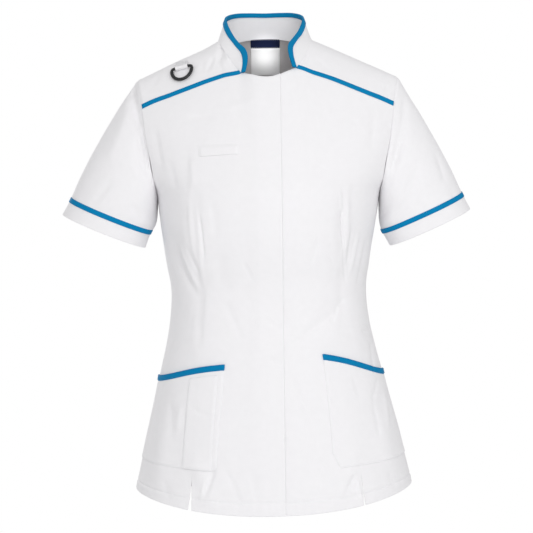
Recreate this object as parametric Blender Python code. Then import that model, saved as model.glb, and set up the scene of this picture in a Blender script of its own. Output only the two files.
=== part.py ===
# A women's healthcare tunic, size L, hollow and filled out as if worn, without a wearer.
# Metres, +Z up, the front faces -Y. "Right" and "left" are the wearer's: right is at -X.
# The origin is at the middle of the neck base, at the height where the shoulders meet the neck.
# Each piece of cloth is a closed wall: an outer skin worked out from the garment's sections,
# and an inner skin one cloth thickness inside it.

import math

import bpy
import numpy as np

# Driving dimensions, in metres
CLOTH = 0.0012  # thickness of the cloth walls
TRIM = 0.0010  # thickness of piping, binding and label
SEAM_GAP = 0.0003  # between two pieces at a seam, and under what lies on a panel
PLAN_POWER = 2.2  # how square the garment's horizontal sections are
SIDE_WIDTH = 0.172  # half width at the underarm
UNDERARM_Z = -0.240
HEM_SIDE_Z = -0.688
HEM_DROP = 0.028  # the hem hangs this much lower at the centre than at the side
WRAP = 0.0165  # how far each front passes the centre
WRAP_LIFT = 0.0020  # how far the upper front is raised over the lower one
ARCH_POWER = 3.0  # how square the shoulder is, seen from the side
SHOULDER_SPREAD = 0.068  # how much further out the sections close at the shoulder than underarm
SPREAD_POWER = 1.7  # how soon on the way up they spread
CHEST_DEPTH = 0.140  # front depth at the underarm
CHEST_SLOPE = 0.073  # how much of it is lost up to the shoulder
BACK_DEPTH = 0.115
RIDGE_Y = -0.006  # the shoulder line lies this far forward
NECK_HALF = 0.073
NECK_Y = -0.008
NECK_FRONT = 0.080
NECK_BACK = 0.066
COLLAR_END_X = 0.044  # where the collar and the yoke seam start
SHOULDER_SEAM = 1.05  # on the arch: 0 front underarm level, 1 the ridge, 2 back underarm level
CUFF_HEIGHT = 0.0255
PIPING = 0.0078  # width of the blue piping
PIPING_GAP = 0.0005  # under piping that bends over a seam
BINDING = 0.0072  # depth of the collar binding
COLLAR_BULGE = 0.0015
COLLAR_START = 0.07  # how far the collar's end keeps from the front, as a share of its first step

# Sections of the body below the underarm
# height, half width, front depth, back depth
BODY = (
    (-0.240, 0.1720, 0.140, 0.115),
    (-0.300, 0.1640, 0.137, 0.104),
    (-0.350, 0.1560, 0.126, 0.093),
    (-0.400, 0.1515, 0.116, 0.088),
    (-0.450, 0.1580, 0.118, 0.096),
    (-0.500, 0.1690, 0.122, 0.112),
    (-0.560, 0.1835, 0.128, 0.126),
    (-0.620, 0.1980, 0.135, 0.133),
    (-0.720, 0.2205, 0.147, 0.141),
)

# The shoulder line: distance from the centre, height
SHOULDER = (
    (0.0, 0.0290),
    (0.023, 0.0262),
    (0.045, 0.0155),
    (0.073, 0.0),
    (0.140, -0.0305),
    (0.204, -0.0600),
)

# The armhole seam: height, distance from the centre
ARMHOLE = ((-0.240, 0.172), (-0.196, 0.178), (-0.157, 0.1855), (-0.106, 0.1925), (-0.059, 0.2015))

# The yoke seam: distance from the centre, height. It starts at the collar's end.
YOKE_SEAM = ((0.079, -0.0622), (0.117, -0.0757), (0.155, -0.0893), (0.179, -0.0978), (0.210, -0.1120))

# Columns of a front's grid: angle round the body at the hem, waist and underarm, in degrees.
# The wrap's three columns, at -WRAP, 0 and WRAP, come before these.
FRONT_COLUMNS = (
    # hem, waist, underarm
    (6.5, 8.0, 7.2),
    (12.0, 13.0, 14.0),
    (22.8, 22.5, 22.0),
    (25.6, 26.0, 25.0),
    (30.0, 31.5, 29.5),
    (34.5, 37.3, 34.3),
    (36.0, 39.0, 37.5),
    (37.5, 40.7, 40.5),
    (41.5, 44.8, 45.5),
    (50.0, 53.0, 53.0),
    (58.0, 60.0, 60.0),
    (66.0, 67.0, 67.0),
    (74.0, 74.0, 74.0),
    (82.0, 82.0, 82.0),
    (90.0, 90.0, 90.0),
)
YOKE_COLUMN = 4  # the column that ends at the collar, counted from the wrap's edge
POCKET_COLUMN = 5
POCKET_SINE = 0.3875  # sine of that column's angle
PEN_COLUMNS = (6, 11)
VENT_COLUMN = 9
WELT_COLUMNS = (4, 8)
BACK_COLUMNS = (90, 96, 102, 108, 114, 120, 126, 132, 138, 143, 148, 152, 155, 158, 164, 169, 174.5, 180)

# Rows below the underarm: height at the centre front, at the pocket's inner edge, at the side
# and at the centre back. The hem's row comes before these.
ROWS = (
    # centre, pocket edge, side, back
    (-0.686, -0.684, -0.668, -0.688),
    (-0.660, -0.658, -0.649, -0.664),
    (-0.653, -0.651, -0.642, -0.655),
    (-0.620, -0.619, -0.616, -0.622),
    (-0.586, -0.585, -0.589, -0.590),
    (-0.545, -0.544, -0.557, -0.553),
    (-0.500, -0.500, -0.523, -0.513),
    (-0.493, -0.493, -0.518, -0.507),
    (-0.485, -0.485, -0.510, -0.498),
    (-0.456, -0.456, -0.470, -0.466),
    (-0.428, -0.428, -0.434, -0.434),
    (-0.402, -0.402, -0.402, -0.402),
    (-0.376, -0.376, -0.376, -0.376),
    (-0.350, -0.350, -0.350, -0.350),
    (-0.322, -0.322, -0.322, -0.322),
    (-0.294, -0.294, -0.294, -0.294),
    (-0.267, -0.267, -0.267, -0.267),
    (-0.240, -0.240, -0.240, -0.240),
)
VENT_ROW = 2  # the row at the vent's top, counted from the hem
POCKET_ROWS = (3, 8, 9)  # the pocket's bottom, the lower and the upper edge of its piping
PEN_TOP_ROW = 7
# Rows of a front above the underarm, below the yoke seam: height at the centre and at the armhole
UPPER_ROWS = (
    (-0.214, -0.219),
    (-0.187, -0.192),
    (-0.172, -0.178),
    (-0.145, -0.163),
    (-0.118, -0.144),
    (-0.092, -0.125),
)
WELT_ROWS = (2, 3)  # counted from the underarm
YOKE_RISE = (0.0, 0.15, 0.3, 0.45, 0.6, 0.73, 0.86, 1.0)
BACK_RISE = (0.0, 0.13, 0.27, 0.41, 0.55, 0.68, 0.79, 0.90, 1.0)
SLEEVE_RISE = (0.0, 0.07, 0.18, 0.32, 0.46, 0.60, 0.74, 0.88, 1.0)
COLLAR_RISE = (0.0, 0.5, 1.0)  # share of the way up to the binding's lower edge

# The two cuffs: the wearer's right (-X) sleeve lies a little further out
# inner end x and z, outer end x and z, half depth, how far the front edge sags
CUFFS = {
    -1: (0.1905, -0.318, 0.3205, -0.264, 0.053, 0.004),
    1: (0.1905, -0.319, 0.3145, -0.263, 0.053, 0.004),
}
SLEEVE_BULGE = {-1: 0.007, 1: 0.0045}
SLEEVE_FLARE = {-1: 0.0025, 1: 0.0070}  # how much wider towards the body the cuff's seam is

# The collar's top edge: angle of the neck station, then the point on the wearer's left side
COLLAR_TOP = (
    (35.0, 0.0365, -0.0830, -0.0550),
    (45.0, 0.0320, -0.0770, -0.0380),
    (55.0, 0.0330, -0.0670, -0.0230),
    (65.0, 0.0415, -0.0510, -0.0060),
    (75.0, 0.0500, -0.0340, 0.0080),
    (90.0, 0.0585, -0.0120, 0.0270),
    (105.0, 0.0610, 0.0060, 0.0370),
    (120.0, 0.0580, 0.0240, 0.0445),
    (135.0, 0.0490, 0.0410, 0.0500),
    (150.0, 0.0360, 0.0520, 0.0530),
    (165.0, 0.0190, 0.0595, 0.0540),
    (180.0, 0.0000, 0.0620, 0.0540),
)

# How far the garment's sides hang towards the wearer's right: height, shift
SWAY = (
    (0.020, -0.0020),
    (-0.100, -0.0023),
    (-0.240, -0.0030),
    (-0.330, -0.0050),
    (-0.400, -0.0040),
    (-0.480, -0.0025),
    (-0.560, -0.0012),
    (-0.640, 0.0),
)
NECK_SWAY = 0.0055
NECK_TILT = 0.085
YOKE_SHARE = 0.25  # how much of that tilt fades over the whole yoke, not beside the collar
NECK_LIFT = 0.009  # how much higher the front neckline is pulled at the centre
HEM_TILT = 0.010

# The largest folds of the body, as soft troughs (depth under 0) and ridges, each along a line
# on the front (face -1) or the back (face 1), seen from the front
# face, start x and z, end x and z, half width, depth
FOLDS = (
    (-1, -0.110, -0.235, -0.103, -0.330, 0.007, -0.0022),
    (-1, -0.103, -0.330, -0.107, -0.470, 0.007, -0.0012),
    (-1, 0.110, -0.235, 0.108, -0.330, 0.007, -0.0024),
    (-1, 0.108, -0.330, 0.110, -0.450, 0.007, -0.0012),
    (-1, -0.122, -0.265, -0.115, -0.365, 0.012, 0.0024),
    (-1, -0.150, -0.300, -0.112, -0.385, 0.013, -0.0030),
    (-1, 0.140, -0.300, 0.114, -0.375, 0.013, -0.0026),
    (-1, 0.112, -0.400, 0.040, -0.470, 0.016, -0.0022),
    (-1, -0.160, -0.580, -0.175, -0.670, 0.014, 0.0030),
    (-1, 0.160, -0.580, 0.178, -0.665, 0.014, 0.0030),
    (-1, -0.120, -0.630, -0.092, -0.700, 0.012, 0.0026),
    (-1, 0.122, -0.630, 0.096, -0.700, 0.012, 0.0026),
    (1, -0.070, -0.330, -0.055, -0.470, 0.014, -0.0030),
    (1, 0.072, -0.320, 0.052, -0.480, 0.014, -0.0030),
    (1, -0.110, -0.560, -0.135, -0.690, 0.018, 0.0035),
    (1, 0.105, -0.570, 0.130, -0.690, 0.018, 0.0035),
    (1, 0.000, -0.580, 0.006, -0.700, 0.020, 0.0030),
)

# The same on the sleeves. Turn is 0 at the underarm, 90 at the front and 180 at the outer edge.
# start turn and share of the way down, end turn and share, half width in metres, depth
SLEEVE_FOLDS = (
    (45, 0.26, 128, 0.10, 0.013, -0.0042),
    (22, 0.30, 62, 0.82, 0.013, -0.0030),
    (318, 0.22, 232, 0.14, 0.014, -0.0038),
    (335, 0.34, 292, 0.80, 0.014, -0.0030),
)
TURN_LENGTH = 0.0012  # metres round the sleeve for one degree
SLEEVE_LENGTH = 0.235

# The ring and its loop on the right yoke
RING_X = -0.1300  # where the bar lies along the shoulder
RING_BAR_Z = -0.0455  # and how high
RING_WIRE = 0.0021  # radius of the bar, and half the thickness of the bow
RING_WIDE = 0.0027  # half the width of the bow
RING_HALF = 0.0162  # half width of the D, to the middle of the wire
RING_DROP = 0.0225  # from the bar to the D's lowest point, wire middles
RING_CORNER = 0.003
RING_FULL = 0.9  # under 1 fills out the D's bow
RING_STEPS = 12
RING_SIDES = 8
TAB_HALF = 0.0098
TAB_TAIL = 0.0100  # how far the loop's sewn end lies above the bar
TAB_PLAY = 0.0004  # round the bar
TAB_THIN = 0.0006  # how much nearer its middle the sewn end's faces lie
TAB_SIDES = 16
RING_TILT = 5.0  # how far the D leans in to the yoke, in degrees

# What differs between the two sides: the vent's opening at the hem, how far in degrees it is
# turned towards the centre there, how far the pocket's inner edge is turned outward at the waist,
# and how much lower the pocket's mouth lies, at its inner end and at the side
VENT_OPENING = {-1: 0.006, 1: 0.003}
VENT_TURN = {-1: 3.0, 1: 0.0}
POCKET_TURN = {-1: 0.0, 1: 2.4}
MOUTH_DROP = {-1: (0.0105, 0.0065), 1: (-0.0040, 0.0010)}
MOUTH_LEVELS = (6, 11)  # the rows that the drop moves, counted from the hem
MOUTH_EASE = 0.6  # how much of it the first and the last of them get
TURN_REACH = (16, 4)  # how many degrees away the turns fade out, and act in full

# The label's two pieces: name, top and bottom height, colour
LABEL_HALF = 0.0228
LABEL_CLEAR = 0.0005
LABEL_STEP = 0.012  # about this far apart are its rows

# Colours, as linear values
WHITE = (0.84, 0.84, 0.86)
BLUE = (0.010, 0.235, 0.500)
BLACK = (0.012, 0.012, 0.014)
NAVY = (0.004, 0.007, 0.030)
LABEL = (
    ("neck_label_band", 0.0135, 0.0000, NAVY),
    ("neck_label", -0.0004, -0.0460, WHITE),
)


def smooth_between(value, keys, values):
    """A smooth curve through the rows (keys, values), held level past both ends."""
    keys = list(keys)
    values = list(values)
    if keys[0] > keys[-1]:
        keys.reverse()
        values.reverse()
    value = min(max(value, keys[0]), keys[-1])
    i = min(max(int(np.searchsorted(keys, value)) - 1, 0), len(keys) - 2)
    steps = [(values[k + 1] - values[k]) / (keys[k + 1] - keys[k]) for k in range(len(keys) - 1)]
    slopes = [steps[0]] + [(a + b) / 2 for a, b in zip(steps, steps[1:])] + [steps[-1]]
    span = keys[i + 1] - keys[i]
    t = (value - keys[i]) / span
    rise = (values[i] + t * span * slopes[i], values[i + 1] - (1 - t) * span * slopes[i + 1])
    share = t * t * (3 - 2 * t)
    return rise[0] * (1 - share) + rise[1] * share


def column(table, key, place):
    """The value of one named column of a table at a key in its first column."""
    return smooth_between(key, [row[0] for row in table], [row[place] for row in table])


def step_up(value, low, high):
    """0 below low, 1 above high, smooth between; low may be the greater."""
    t = min(max((value - low) / (high - low), 0.0), 1.0)
    return t * t * (3 - 2 * t)


def unit(vector):
    return vector / max(np.linalg.norm(vector), 1e-12)


def part_power(value):
    """Turns a sine or cosine into the coordinate of the garment's rounded-square sections."""
    return math.copysign(abs(value) ** (2 / PLAN_POWER), value)


# The form of the body

def body_point(angle, z):
    """Below the underarm: angle 0 is the centre front, 90 the side, 180 the centre back."""
    turn = math.radians(angle)
    width = column(BODY, z, 1)
    depth = column(BODY, z, 2 if math.cos(turn) > 0 else 3)
    return np.array((width * part_power(math.sin(turn)), -depth * part_power(math.cos(turn)), z))


def body_angle(x, z):
    """The angle on the front where the body is x from the centre."""
    share = min(abs(x) / column(BODY, z, 1), 1.0)
    return math.copysign(math.degrees(math.asin(share ** (PLAN_POWER / 2))), x)


def body_normal(angle, z):
    around = body_point(angle + 0.5, z) - body_point(angle - 0.5, z)
    up = body_point(angle, z + 0.002) - body_point(angle, z - 0.002)
    return unit(np.cross(around, up))


def arch_table():
    """The shoulder's arch, evenly spaced along its length: place, height share, depth share."""
    rows = []
    length = 0.0
    last = (0.0, 1.0)
    for i in range(181):
        turn = math.radians(i / 2)
        here = (math.sin(turn) ** (2 / ARCH_POWER), math.cos(turn) ** (2 / ARCH_POWER))
        length += math.hypot(0.21 * (here[0] - last[0]), 0.10 * (here[1] - last[1]))
        rows.append((length, here[0], here[1]))
        last = here
    return np.array(rows) / (length, 1, 1)


ARCH = arch_table()


def arch(place):
    """Height share and depth share at a place: 0 front, 1 ridge, 2 back."""
    near = place if place <= 1 else 2 - place
    height = float(np.interp(near, ARCH[:, 0], ARCH[:, 1]))
    depth = float(np.interp(near, ARCH[:, 0], ARCH[:, 2]))
    return height, depth if place <= 1 else -depth


def shoulder_point(x, place):
    """Above the underarm: x from the centre, and the place on the shoulder's arch."""
    height, depth = arch(place)
    z = UNDERARM_Z + (column(SHOULDER, abs(x), 1) - UNDERARM_Z) * height
    width = SIDE_WIDTH + SHOULDER_SPREAD * (1 - (1 - height) ** SPREAD_POWER)
    bow = max(1 - (abs(x) / width) ** PLAN_POWER, 0.0) ** (1 / PLAN_POWER)
    full = CHEST_DEPTH - CHEST_SLOPE * height if place <= 1 else BACK_DEPTH
    return np.array((x, RIDGE_Y * height**3 - depth * full * bow, z))


def shoulder_normal(x, place):
    across = shoulder_point(x + 0.001, place) - shoulder_point(x - 0.001, place)
    low, high = max(place - 0.01, 0.0), min(place + 0.01, 2.0)
    return unit(np.cross(across, shoulder_point(x, high) - shoulder_point(x, low)))


def solve(miss, low, high):
    """Where a rising function of one number passes zero."""
    for _ in range(40):
        middle = (low + high) / 2
        if miss(middle) < 0:
            low = middle
        else:
            high = middle
    return (low + high) / 2


def armhole_x(place):
    """How far from the centre the armhole seam lies at a place on the arch."""
    x = SIDE_WIDTH
    for _ in range(12):
        x = column(ARMHOLE, shoulder_point(min(x, SIDE_WIDTH + 0.06), place)[2], 1)
    return x


def neck_station(angle):
    """The neck seam: x and the place on the arch, at an angle from the centre front."""
    turn = math.radians(angle)
    depth = NECK_FRONT if math.cos(turn) > 0 else NECK_BACK
    x = NECK_HALF * part_power(math.sin(turn))
    y = NECK_Y - depth * part_power(math.cos(turn))
    return x, solve(lambda place: shoulder_point(x, place)[1] - y, 0.0, 2.0)


def neck_angle(x):
    """The station on the front of the neck that is x from the centre."""
    return math.copysign(math.degrees(math.asin((abs(x) / NECK_HALF) ** (PLAN_POWER / 2))), x)


COLLAR_END = neck_angle(COLLAR_END_X)
SEAM_START_Z = float(shoulder_point(*neck_station(COLLAR_END))[2])
SEAM_LINE = ((COLLAR_END_X, SEAM_START_Z),) + YOKE_SEAM


def seam_place(x):
    """The place on the arch where the yoke seam crosses x."""
    z = column(SEAM_LINE, x, 1)
    return solve(lambda place: shoulder_point(x, place)[2] - z, 0.0, 1.0)


def seam_end():
    """x of the yoke seam where it meets the armhole."""
    return solve(lambda x: x - armhole_x(seam_place(x)), 0.16, 0.21)


def neck_meets_shoulder():
    """The neck station where the shoulder seam starts."""
    return solve(lambda angle: neck_station(angle)[1] - SHOULDER_SEAM, 60.0, 140.0)


# How the garment hangs in the photo, and its folds

def crease(here, start, end, width, depth):
    """The height of one fold, along the line from start to end, at a place near it."""
    along = np.array(end) - start
    offset = np.array(here) - start
    t = float(offset @ along) / float(along @ along)
    away = np.linalg.norm(offset - min(max(t, 0.0), 1.0) * along) / width
    taper = math.sin(math.pi * min(max(0.12 + 0.76 * t, 0.0), 1.0))
    return depth * taper * math.exp(-away * away)


def fold_height(point, normal):
    """How far the folds raise a point of the body."""
    here = (point[0], point[2])
    height = 0.0
    for face, x0, z0, x1, z1, width, depth in FOLDS:
        if face * point[1] > 0:
            height += crease(here, (x0, z0), (x1, z1), width, depth)
    return height * step_up(abs(normal[1]), 0.15, 0.6)


def sleeve_fold(turn, share):
    """The same on a sleeve, at a turn round it and a share of the way down."""
    here = (math.degrees(turn) * TURN_LENGTH, share * SLEEVE_LENGTH)
    height = 0.0
    for turn0, share0, turn1, share1, width, depth in SLEEVE_FOLDS:
        start = (turn0 * TURN_LENGTH, share0 * SLEEVE_LENGTH)
        end = (turn1 * TURN_LENGTH, share1 * SLEEVE_LENGTH)
        height += crease(here, start, end, width, depth)
    return height


def settle(point):
    """Sways the garment to one side and tilts the neck and the hem, as they hang."""
    x, y, z = point
    outer = step_up(abs(x), 0.03, 0.13)
    near_neck = step_up(abs(x), 0.105, 0.065)
    x_now = x + outer * column(SWAY, z, 1) - NECK_SWAY * near_neck * step_up(z, -0.055, 0.010)
    lift = HEM_TILT * x * step_up(z, -0.45, -0.69)
    front_neck = step_up(y, -0.02, -0.07) * step_up(z, -0.125, -0.065)
    tilt = (1 - YOKE_SHARE) * step_up(abs(x), 0.070, 0.040) + YOKE_SHARE * step_up(abs(x), 0.21, 0.05)
    lift += front_neck * (NECK_TILT * x * tilt + NECK_LIFT * step_up(abs(x), 0.046, 0.022))
    return np.array((x_now, y, z + lift))


# Walls

class Skin:
    """A grid of points with their outward normals and their way through the cloth."""

    def __init__(self, rows, side):
        mirror = np.array((side, 1, 1))
        self.points = np.array([[p * mirror for p, n in row] for row in rows])
        self.normals = np.array([[n * mirror for p, n in row] for row in rows])
        self.inward = -self.normals
        self.shift = np.zeros(self.points.shape)
        self.side = side

    def pull_back(self, edge):
        """Draws one edge back by half the seam's gap: left, right, bottom or top."""
        rows = {
            "left": (np.s_[:, 0], np.s_[:, 1]),
            "right": (np.s_[:, -1], np.s_[:, -2]),
            "bottom": (np.s_[0, :], np.s_[1, :]),
            "top": (np.s_[-1, :], np.s_[-2, :]),
        }
        border, inside = rows[edge]
        line = self.points[border]
        ways = self.points[inside] - line
        tangents = np.gradient(line, axis=0)
        for k, tangent in enumerate(tangents):
            along = unit(tangent)
            across = unit(ways[k] - along * float(ways[k] @ along))
            self.shift[border][k] += across * SEAM_GAP / 2

    def place(self, height=0.0, thick=CLOTH, raised=None):
        """The outer and inner points, with the wall's outer skin raised by height."""
        outer = np.empty(self.points.shape)
        inner = np.empty(self.points.shape)
        for index in np.ndindex(self.points.shape[:2]):
            point = self.points[index]
            normal = self.normals[index]
            rise = fold_height(point, normal) + height
            if raised is not None:
                rise += raised[index]
            start = point + normal * rise + self.shift[index]
            outer[index] = settle(start)
            inner[index] = settle(start + self.inward[index] * thick)
        return outer, inner

    def part(self, rows, columns):
        """A smaller skin: the same points, between two rows and two columns."""
        small = Skin.__new__(Skin)
        cut = np.s_[rows[0] : rows[1] + 1, columns[0] : columns[1] + 1]
        small.points = self.points[cut].copy()
        small.normals = self.normals[cut].copy()
        small.inward = -small.normals
        small.shift = np.zeros(small.points.shape)
        small.side = self.side
        return small


def grid_faces(rows, columns, ring=False, turned=()):
    """Triangles of a grid of points, cut along one diagonal, or the other one in turned rows."""
    faces = []
    for j in range(rows - 1):
        for i in range(columns if ring else columns - 1):
            a = j * columns + i
            b = j * columns + (i + 1) % columns
            c, d = b + columns, a + columns
            faces += [(a, b, d), (b, c, d)] if j in turned else [(a, b, c), (a, c, d)]
    return faces


def thicken(outer, inner, faces):
    """Closes an outer and an inner skin with a rim along every open edge."""
    count = len(outer)
    points = np.concatenate((outer, inner))
    solid = list(faces) + [tuple(k + count for k in reversed(face)) for face in faces]
    edges = {(face[k], face[(k + 1) % 3]) for face in faces for k in range(3)}
    for a, b in edges:
        if (b, a) not in edges:
            solid += [(b, a, a + count), (b, a + count, b + count)]
    return points, solid


def make(name, points, faces, colour, roughness=0.85):
    """Makes the named object, turning the faces out if they point in."""
    points = np.asarray(points)
    a, b, c = (points[[face[k] for face in faces]] for k in range(3))
    if float((np.cross(a, b) * c).sum()) < 0:
        faces = [tuple(reversed(face)) for face in faces]
    mesh = bpy.data.meshes.new(name)
    mesh.from_pydata([tuple(float(v) for v in p) for p in points], [], faces)
    mesh.validate()
    mesh.shade_smooth()
    mesh.set_sharp_from_angle(angle=math.radians(50))
    thing = bpy.data.objects.new(name, mesh)
    bpy.context.scene.collection.objects.link(thing)
    thing.data.materials.append(finish(name, colour, roughness))
    return thing


def finish(name, colour, roughness):
    material = bpy.data.materials.new(name + "_finish")
    material.use_nodes = True
    shader = material.node_tree.nodes["Principled BSDF"]
    shader.inputs["Base Color"].default_value = (*colour, 1)
    shader.inputs["Roughness"].default_value = roughness
    shader.inputs["Metallic"].default_value = 0.0
    return material


def make_wall(name, skin, colour=WHITE, thick=CLOTH, height=0.0, raised=None):
    outer, inner = skin.place(height, thick, raised)
    rows, columns = outer.shape[:2]
    make(name, *thicken(outer.reshape(-1, 3), inner.reshape(-1, 3), grid_faces(rows, columns)), colour)


def make_on(name, skin, colour=WHITE, thick=CLOTH, above=0.0):
    """A piece that lies on a panel: the panel's own points, moved out."""
    make_wall(name, skin, colour, thick, above + SEAM_GAP + thick)


# The panels

def row_height(level, angle, hand):
    """Height of one of ROWS at an angle round the body."""
    centre, pocket, side, back = ROWS[level - 1]
    if MOUTH_LEVELS[0] <= level <= MOUTH_LEVELS[1]:
        ease = MOUTH_EASE if level in MOUTH_LEVELS else 1
        inner_drop, side_drop = MOUTH_DROP[hand]
        centre -= inner_drop * ease
        pocket -= inner_drop * ease
        side -= side_drop * ease
    if angle > 90:
        return smooth_between(angle, (90, 180), (side, back))
    return smooth_between(math.sin(math.radians(abs(angle))), (0, POCKET_SINE, 1), (centre, pocket, side))


def hem_height(angle):
    return HEM_SIDE_Z - HEM_DROP * math.cos(math.radians(angle)) ** 2


def column_angle(entry, z, side):
    hem, waist, underarm = entry
    vent = FRONT_COLUMNS[VENT_COLUMN - 3][0]
    edge = FRONT_COLUMNS[POCKET_COLUMN - 3][1]
    hem -= VENT_TURN[side] * step_up(abs(hem - vent), *TURN_REACH)
    waist += POCKET_TURN[side] * step_up(abs(waist - edge), *TURN_REACH)
    return smooth_between(z, (-0.70, -0.40, UNDERARM_Z), (hem, waist, underarm))


def body_station(angle_at, level, side=1):
    """A point and its normal below the underarm; angle_at gives the column's angle by height."""
    z = -0.45
    for _ in range(3):
        z = hem_height(angle_at(z)) if level == 0 else row_height(level, angle_at(z), side)
    angle = angle_at(z)
    return body_point(angle, z), body_normal(angle, z)


def front_angles(side):
    """The columns of a front: for each, its angle by height."""
    wrap = [lambda z, x=x: body_angle(x, z) for x in (-WRAP, 0.0, WRAP)]
    return wrap + [lambda z, entry=entry: column_angle(entry, z, side) for entry in FRONT_COLUMNS]


def blend_patch(bottom, top, left, right, across, rise):
    """A grid of (x, place) between four border lines that meet at their corners."""
    rows = []
    for j, v in enumerate(rise):
        row = []
        for i, c in enumerate(across):
            sides = (1 - c) * left[j] + c * right[j]
            ends = (1 - v) * bottom[i] + v * top[i]
            low = (1 - c) * bottom[0] + c * bottom[-1]
            high = (1 - c) * top[0] + c * top[-1]
            row.append(sides + ends - (1 - v) * low - v * high)
        rows.append(row)
    return rows


def patch_skin(bottom, top, left, right, rise):
    bottom, top, left, right = (np.array(line) for line in (bottom, top, left, right))
    across = (bottom[:, 0] - bottom[0, 0]) / (bottom[-1, 0] - bottom[0, 0])
    grid = blend_patch(bottom, top, left, right, across, rise)
    return [[(shoulder_point(*spot), shoulder_normal(*spot)) for spot in row] for row in grid]


def front_rows(side):
    """The grid of a front panel, drawn on the wearer's left, from the hem to the yoke seam."""
    angles = front_angles(side)
    rows = [[body_station(at, level, side) for at in angles] for level in range(len(ROWS) + 1)]
    bottom = [(p[0], 0.0) for p, n in rows[-1]]
    end = seam_end()
    top = []
    for k, (x, _) in enumerate(bottom):
        if k <= YOKE_COLUMN:
            x = x * COLLAR_END_X / bottom[YOKE_COLUMN][0] if k == YOKE_COLUMN else x
            top.append(neck_station(neck_angle(x)))
        else:
            share = (x - bottom[YOKE_COLUMN][0]) / (SIDE_WIDTH - bottom[YOKE_COLUMN][0])
            x = COLLAR_END_X + share * (end - COLLAR_END_X)
            top.append((x, seam_place(x)))
    left, right = [bottom[0]], [bottom[-1]]
    edge = bottom[0][0]
    for centre, armhole in UPPER_ROWS:
        left.append((edge, solve(lambda place: shoulder_point(edge, place)[2] - centre, 0, 1)))
        place = solve(lambda place: shoulder_point(armhole_x(place), place)[2] - armhole, 0, 1)
        right.append((armhole_x(place), place))
    left.append(top[0])
    right.append(top[-1])
    rise = [place / left[-1][1] for x, place in left]
    upper = patch_skin(bottom, top, left, right, rise)
    return rows + upper[1:], top


def yoke_rows(seam):
    """The grid of a yoke on the wearer's left, from its chest seam to the shoulder seam."""
    bottom = seam[YOKE_COLUMN:]
    first, last = COLLAR_END, neck_meets_shoulder()
    left = [neck_station(first + v * (last - first)) for v in YOKE_RISE]
    start = bottom[-1][1]
    places = [start + v * (SHOULDER_SEAM - start) for v in YOKE_RISE]
    right = [(armhole_x(place), place) for place in places]
    shares = [(x - bottom[0][0]) / (bottom[-1][0] - bottom[0][0]) for x, _ in bottom]
    top = [(left[-1][0] + s * (right[-1][0] - left[-1][0]), SHOULDER_SEAM) for s in shares]
    left[0], right[0] = bottom[0], bottom[-1]
    return patch_skin(bottom, top, left, right, YOKE_RISE), top


def back_rows(shoulder):
    """Half of the back, on the wearer's left: columns from the side to the centre."""
    rows = []
    for level in range(len(ROWS) + 1):
        rows.append([body_station(lambda z, angle=angle: angle, level) for angle in BACK_COLUMNS])
    bottom = [(p[0], 2.0) for p, n in rows[-1]]
    # the shoulder seam keeps the yoke's own columns, so that both edges are one line
    top = [(x, SHOULDER_SEAM) for x, _ in reversed(shoulder)]
    first = neck_meets_shoulder()
    steps = len(bottom) - len(top)
    top += [neck_station(first + (180 - first) * k / steps) for k in range(1, steps + 1)]
    places = [2 + v * (SHOULDER_SEAM - 2) for v in BACK_RISE]
    left = [(armhole_x(place), place) for place in places]
    right = [(0.0, 2 + v * (top[-1][1] - 2)) for v in BACK_RISE]
    left[0], left[-1] = bottom[0], top[0]
    return rows + patch_skin(bottom, top, left, right, BACK_RISE)[1:]


# Seams where two pieces meet at an angle

def mitre(normal, second_normal, tangent, first_way, second_way):
    """The way through the cloth that both pieces of a seam share, and the way across the seam."""
    along = unit(tangent)
    first = unit(first_way - normal * float(first_way @ normal))
    first = unit(first - along * float(first @ along))
    second = unit(second_way - along * float(second_way @ along))
    across = unit(second - first)
    inward = unit(np.cross(along, across))
    if float(inward @ (normal + second_normal)) > 0:
        inward = -inward
    return inward / max(abs(float(inward @ normal)), 0.5), across


def armhole_ring(front, yoke, back):
    """The armhole's points and normals, once round from the underarm, up the front."""
    count = len(ROWS)
    ring = [row[-1] for row in front[count:]]
    ring += [row[-1] for row in yoke[1:]]
    ring += [row[0] for row in reversed(back[count + 1 : -1])]
    return ring


def cuff_frame(side):
    """The cuff's centre, the way from its inner to its outer end, and half its width."""
    x0, z0, x1, z1, _, _ = CUFFS[side]
    inner, outer = np.array((x0, 0.0, z0)), np.array((x1, 0.0, z1))
    wide = unit(outer - inner)
    return (inner + outer) / 2, wide, np.linalg.norm(outer - inner) / 2


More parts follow.
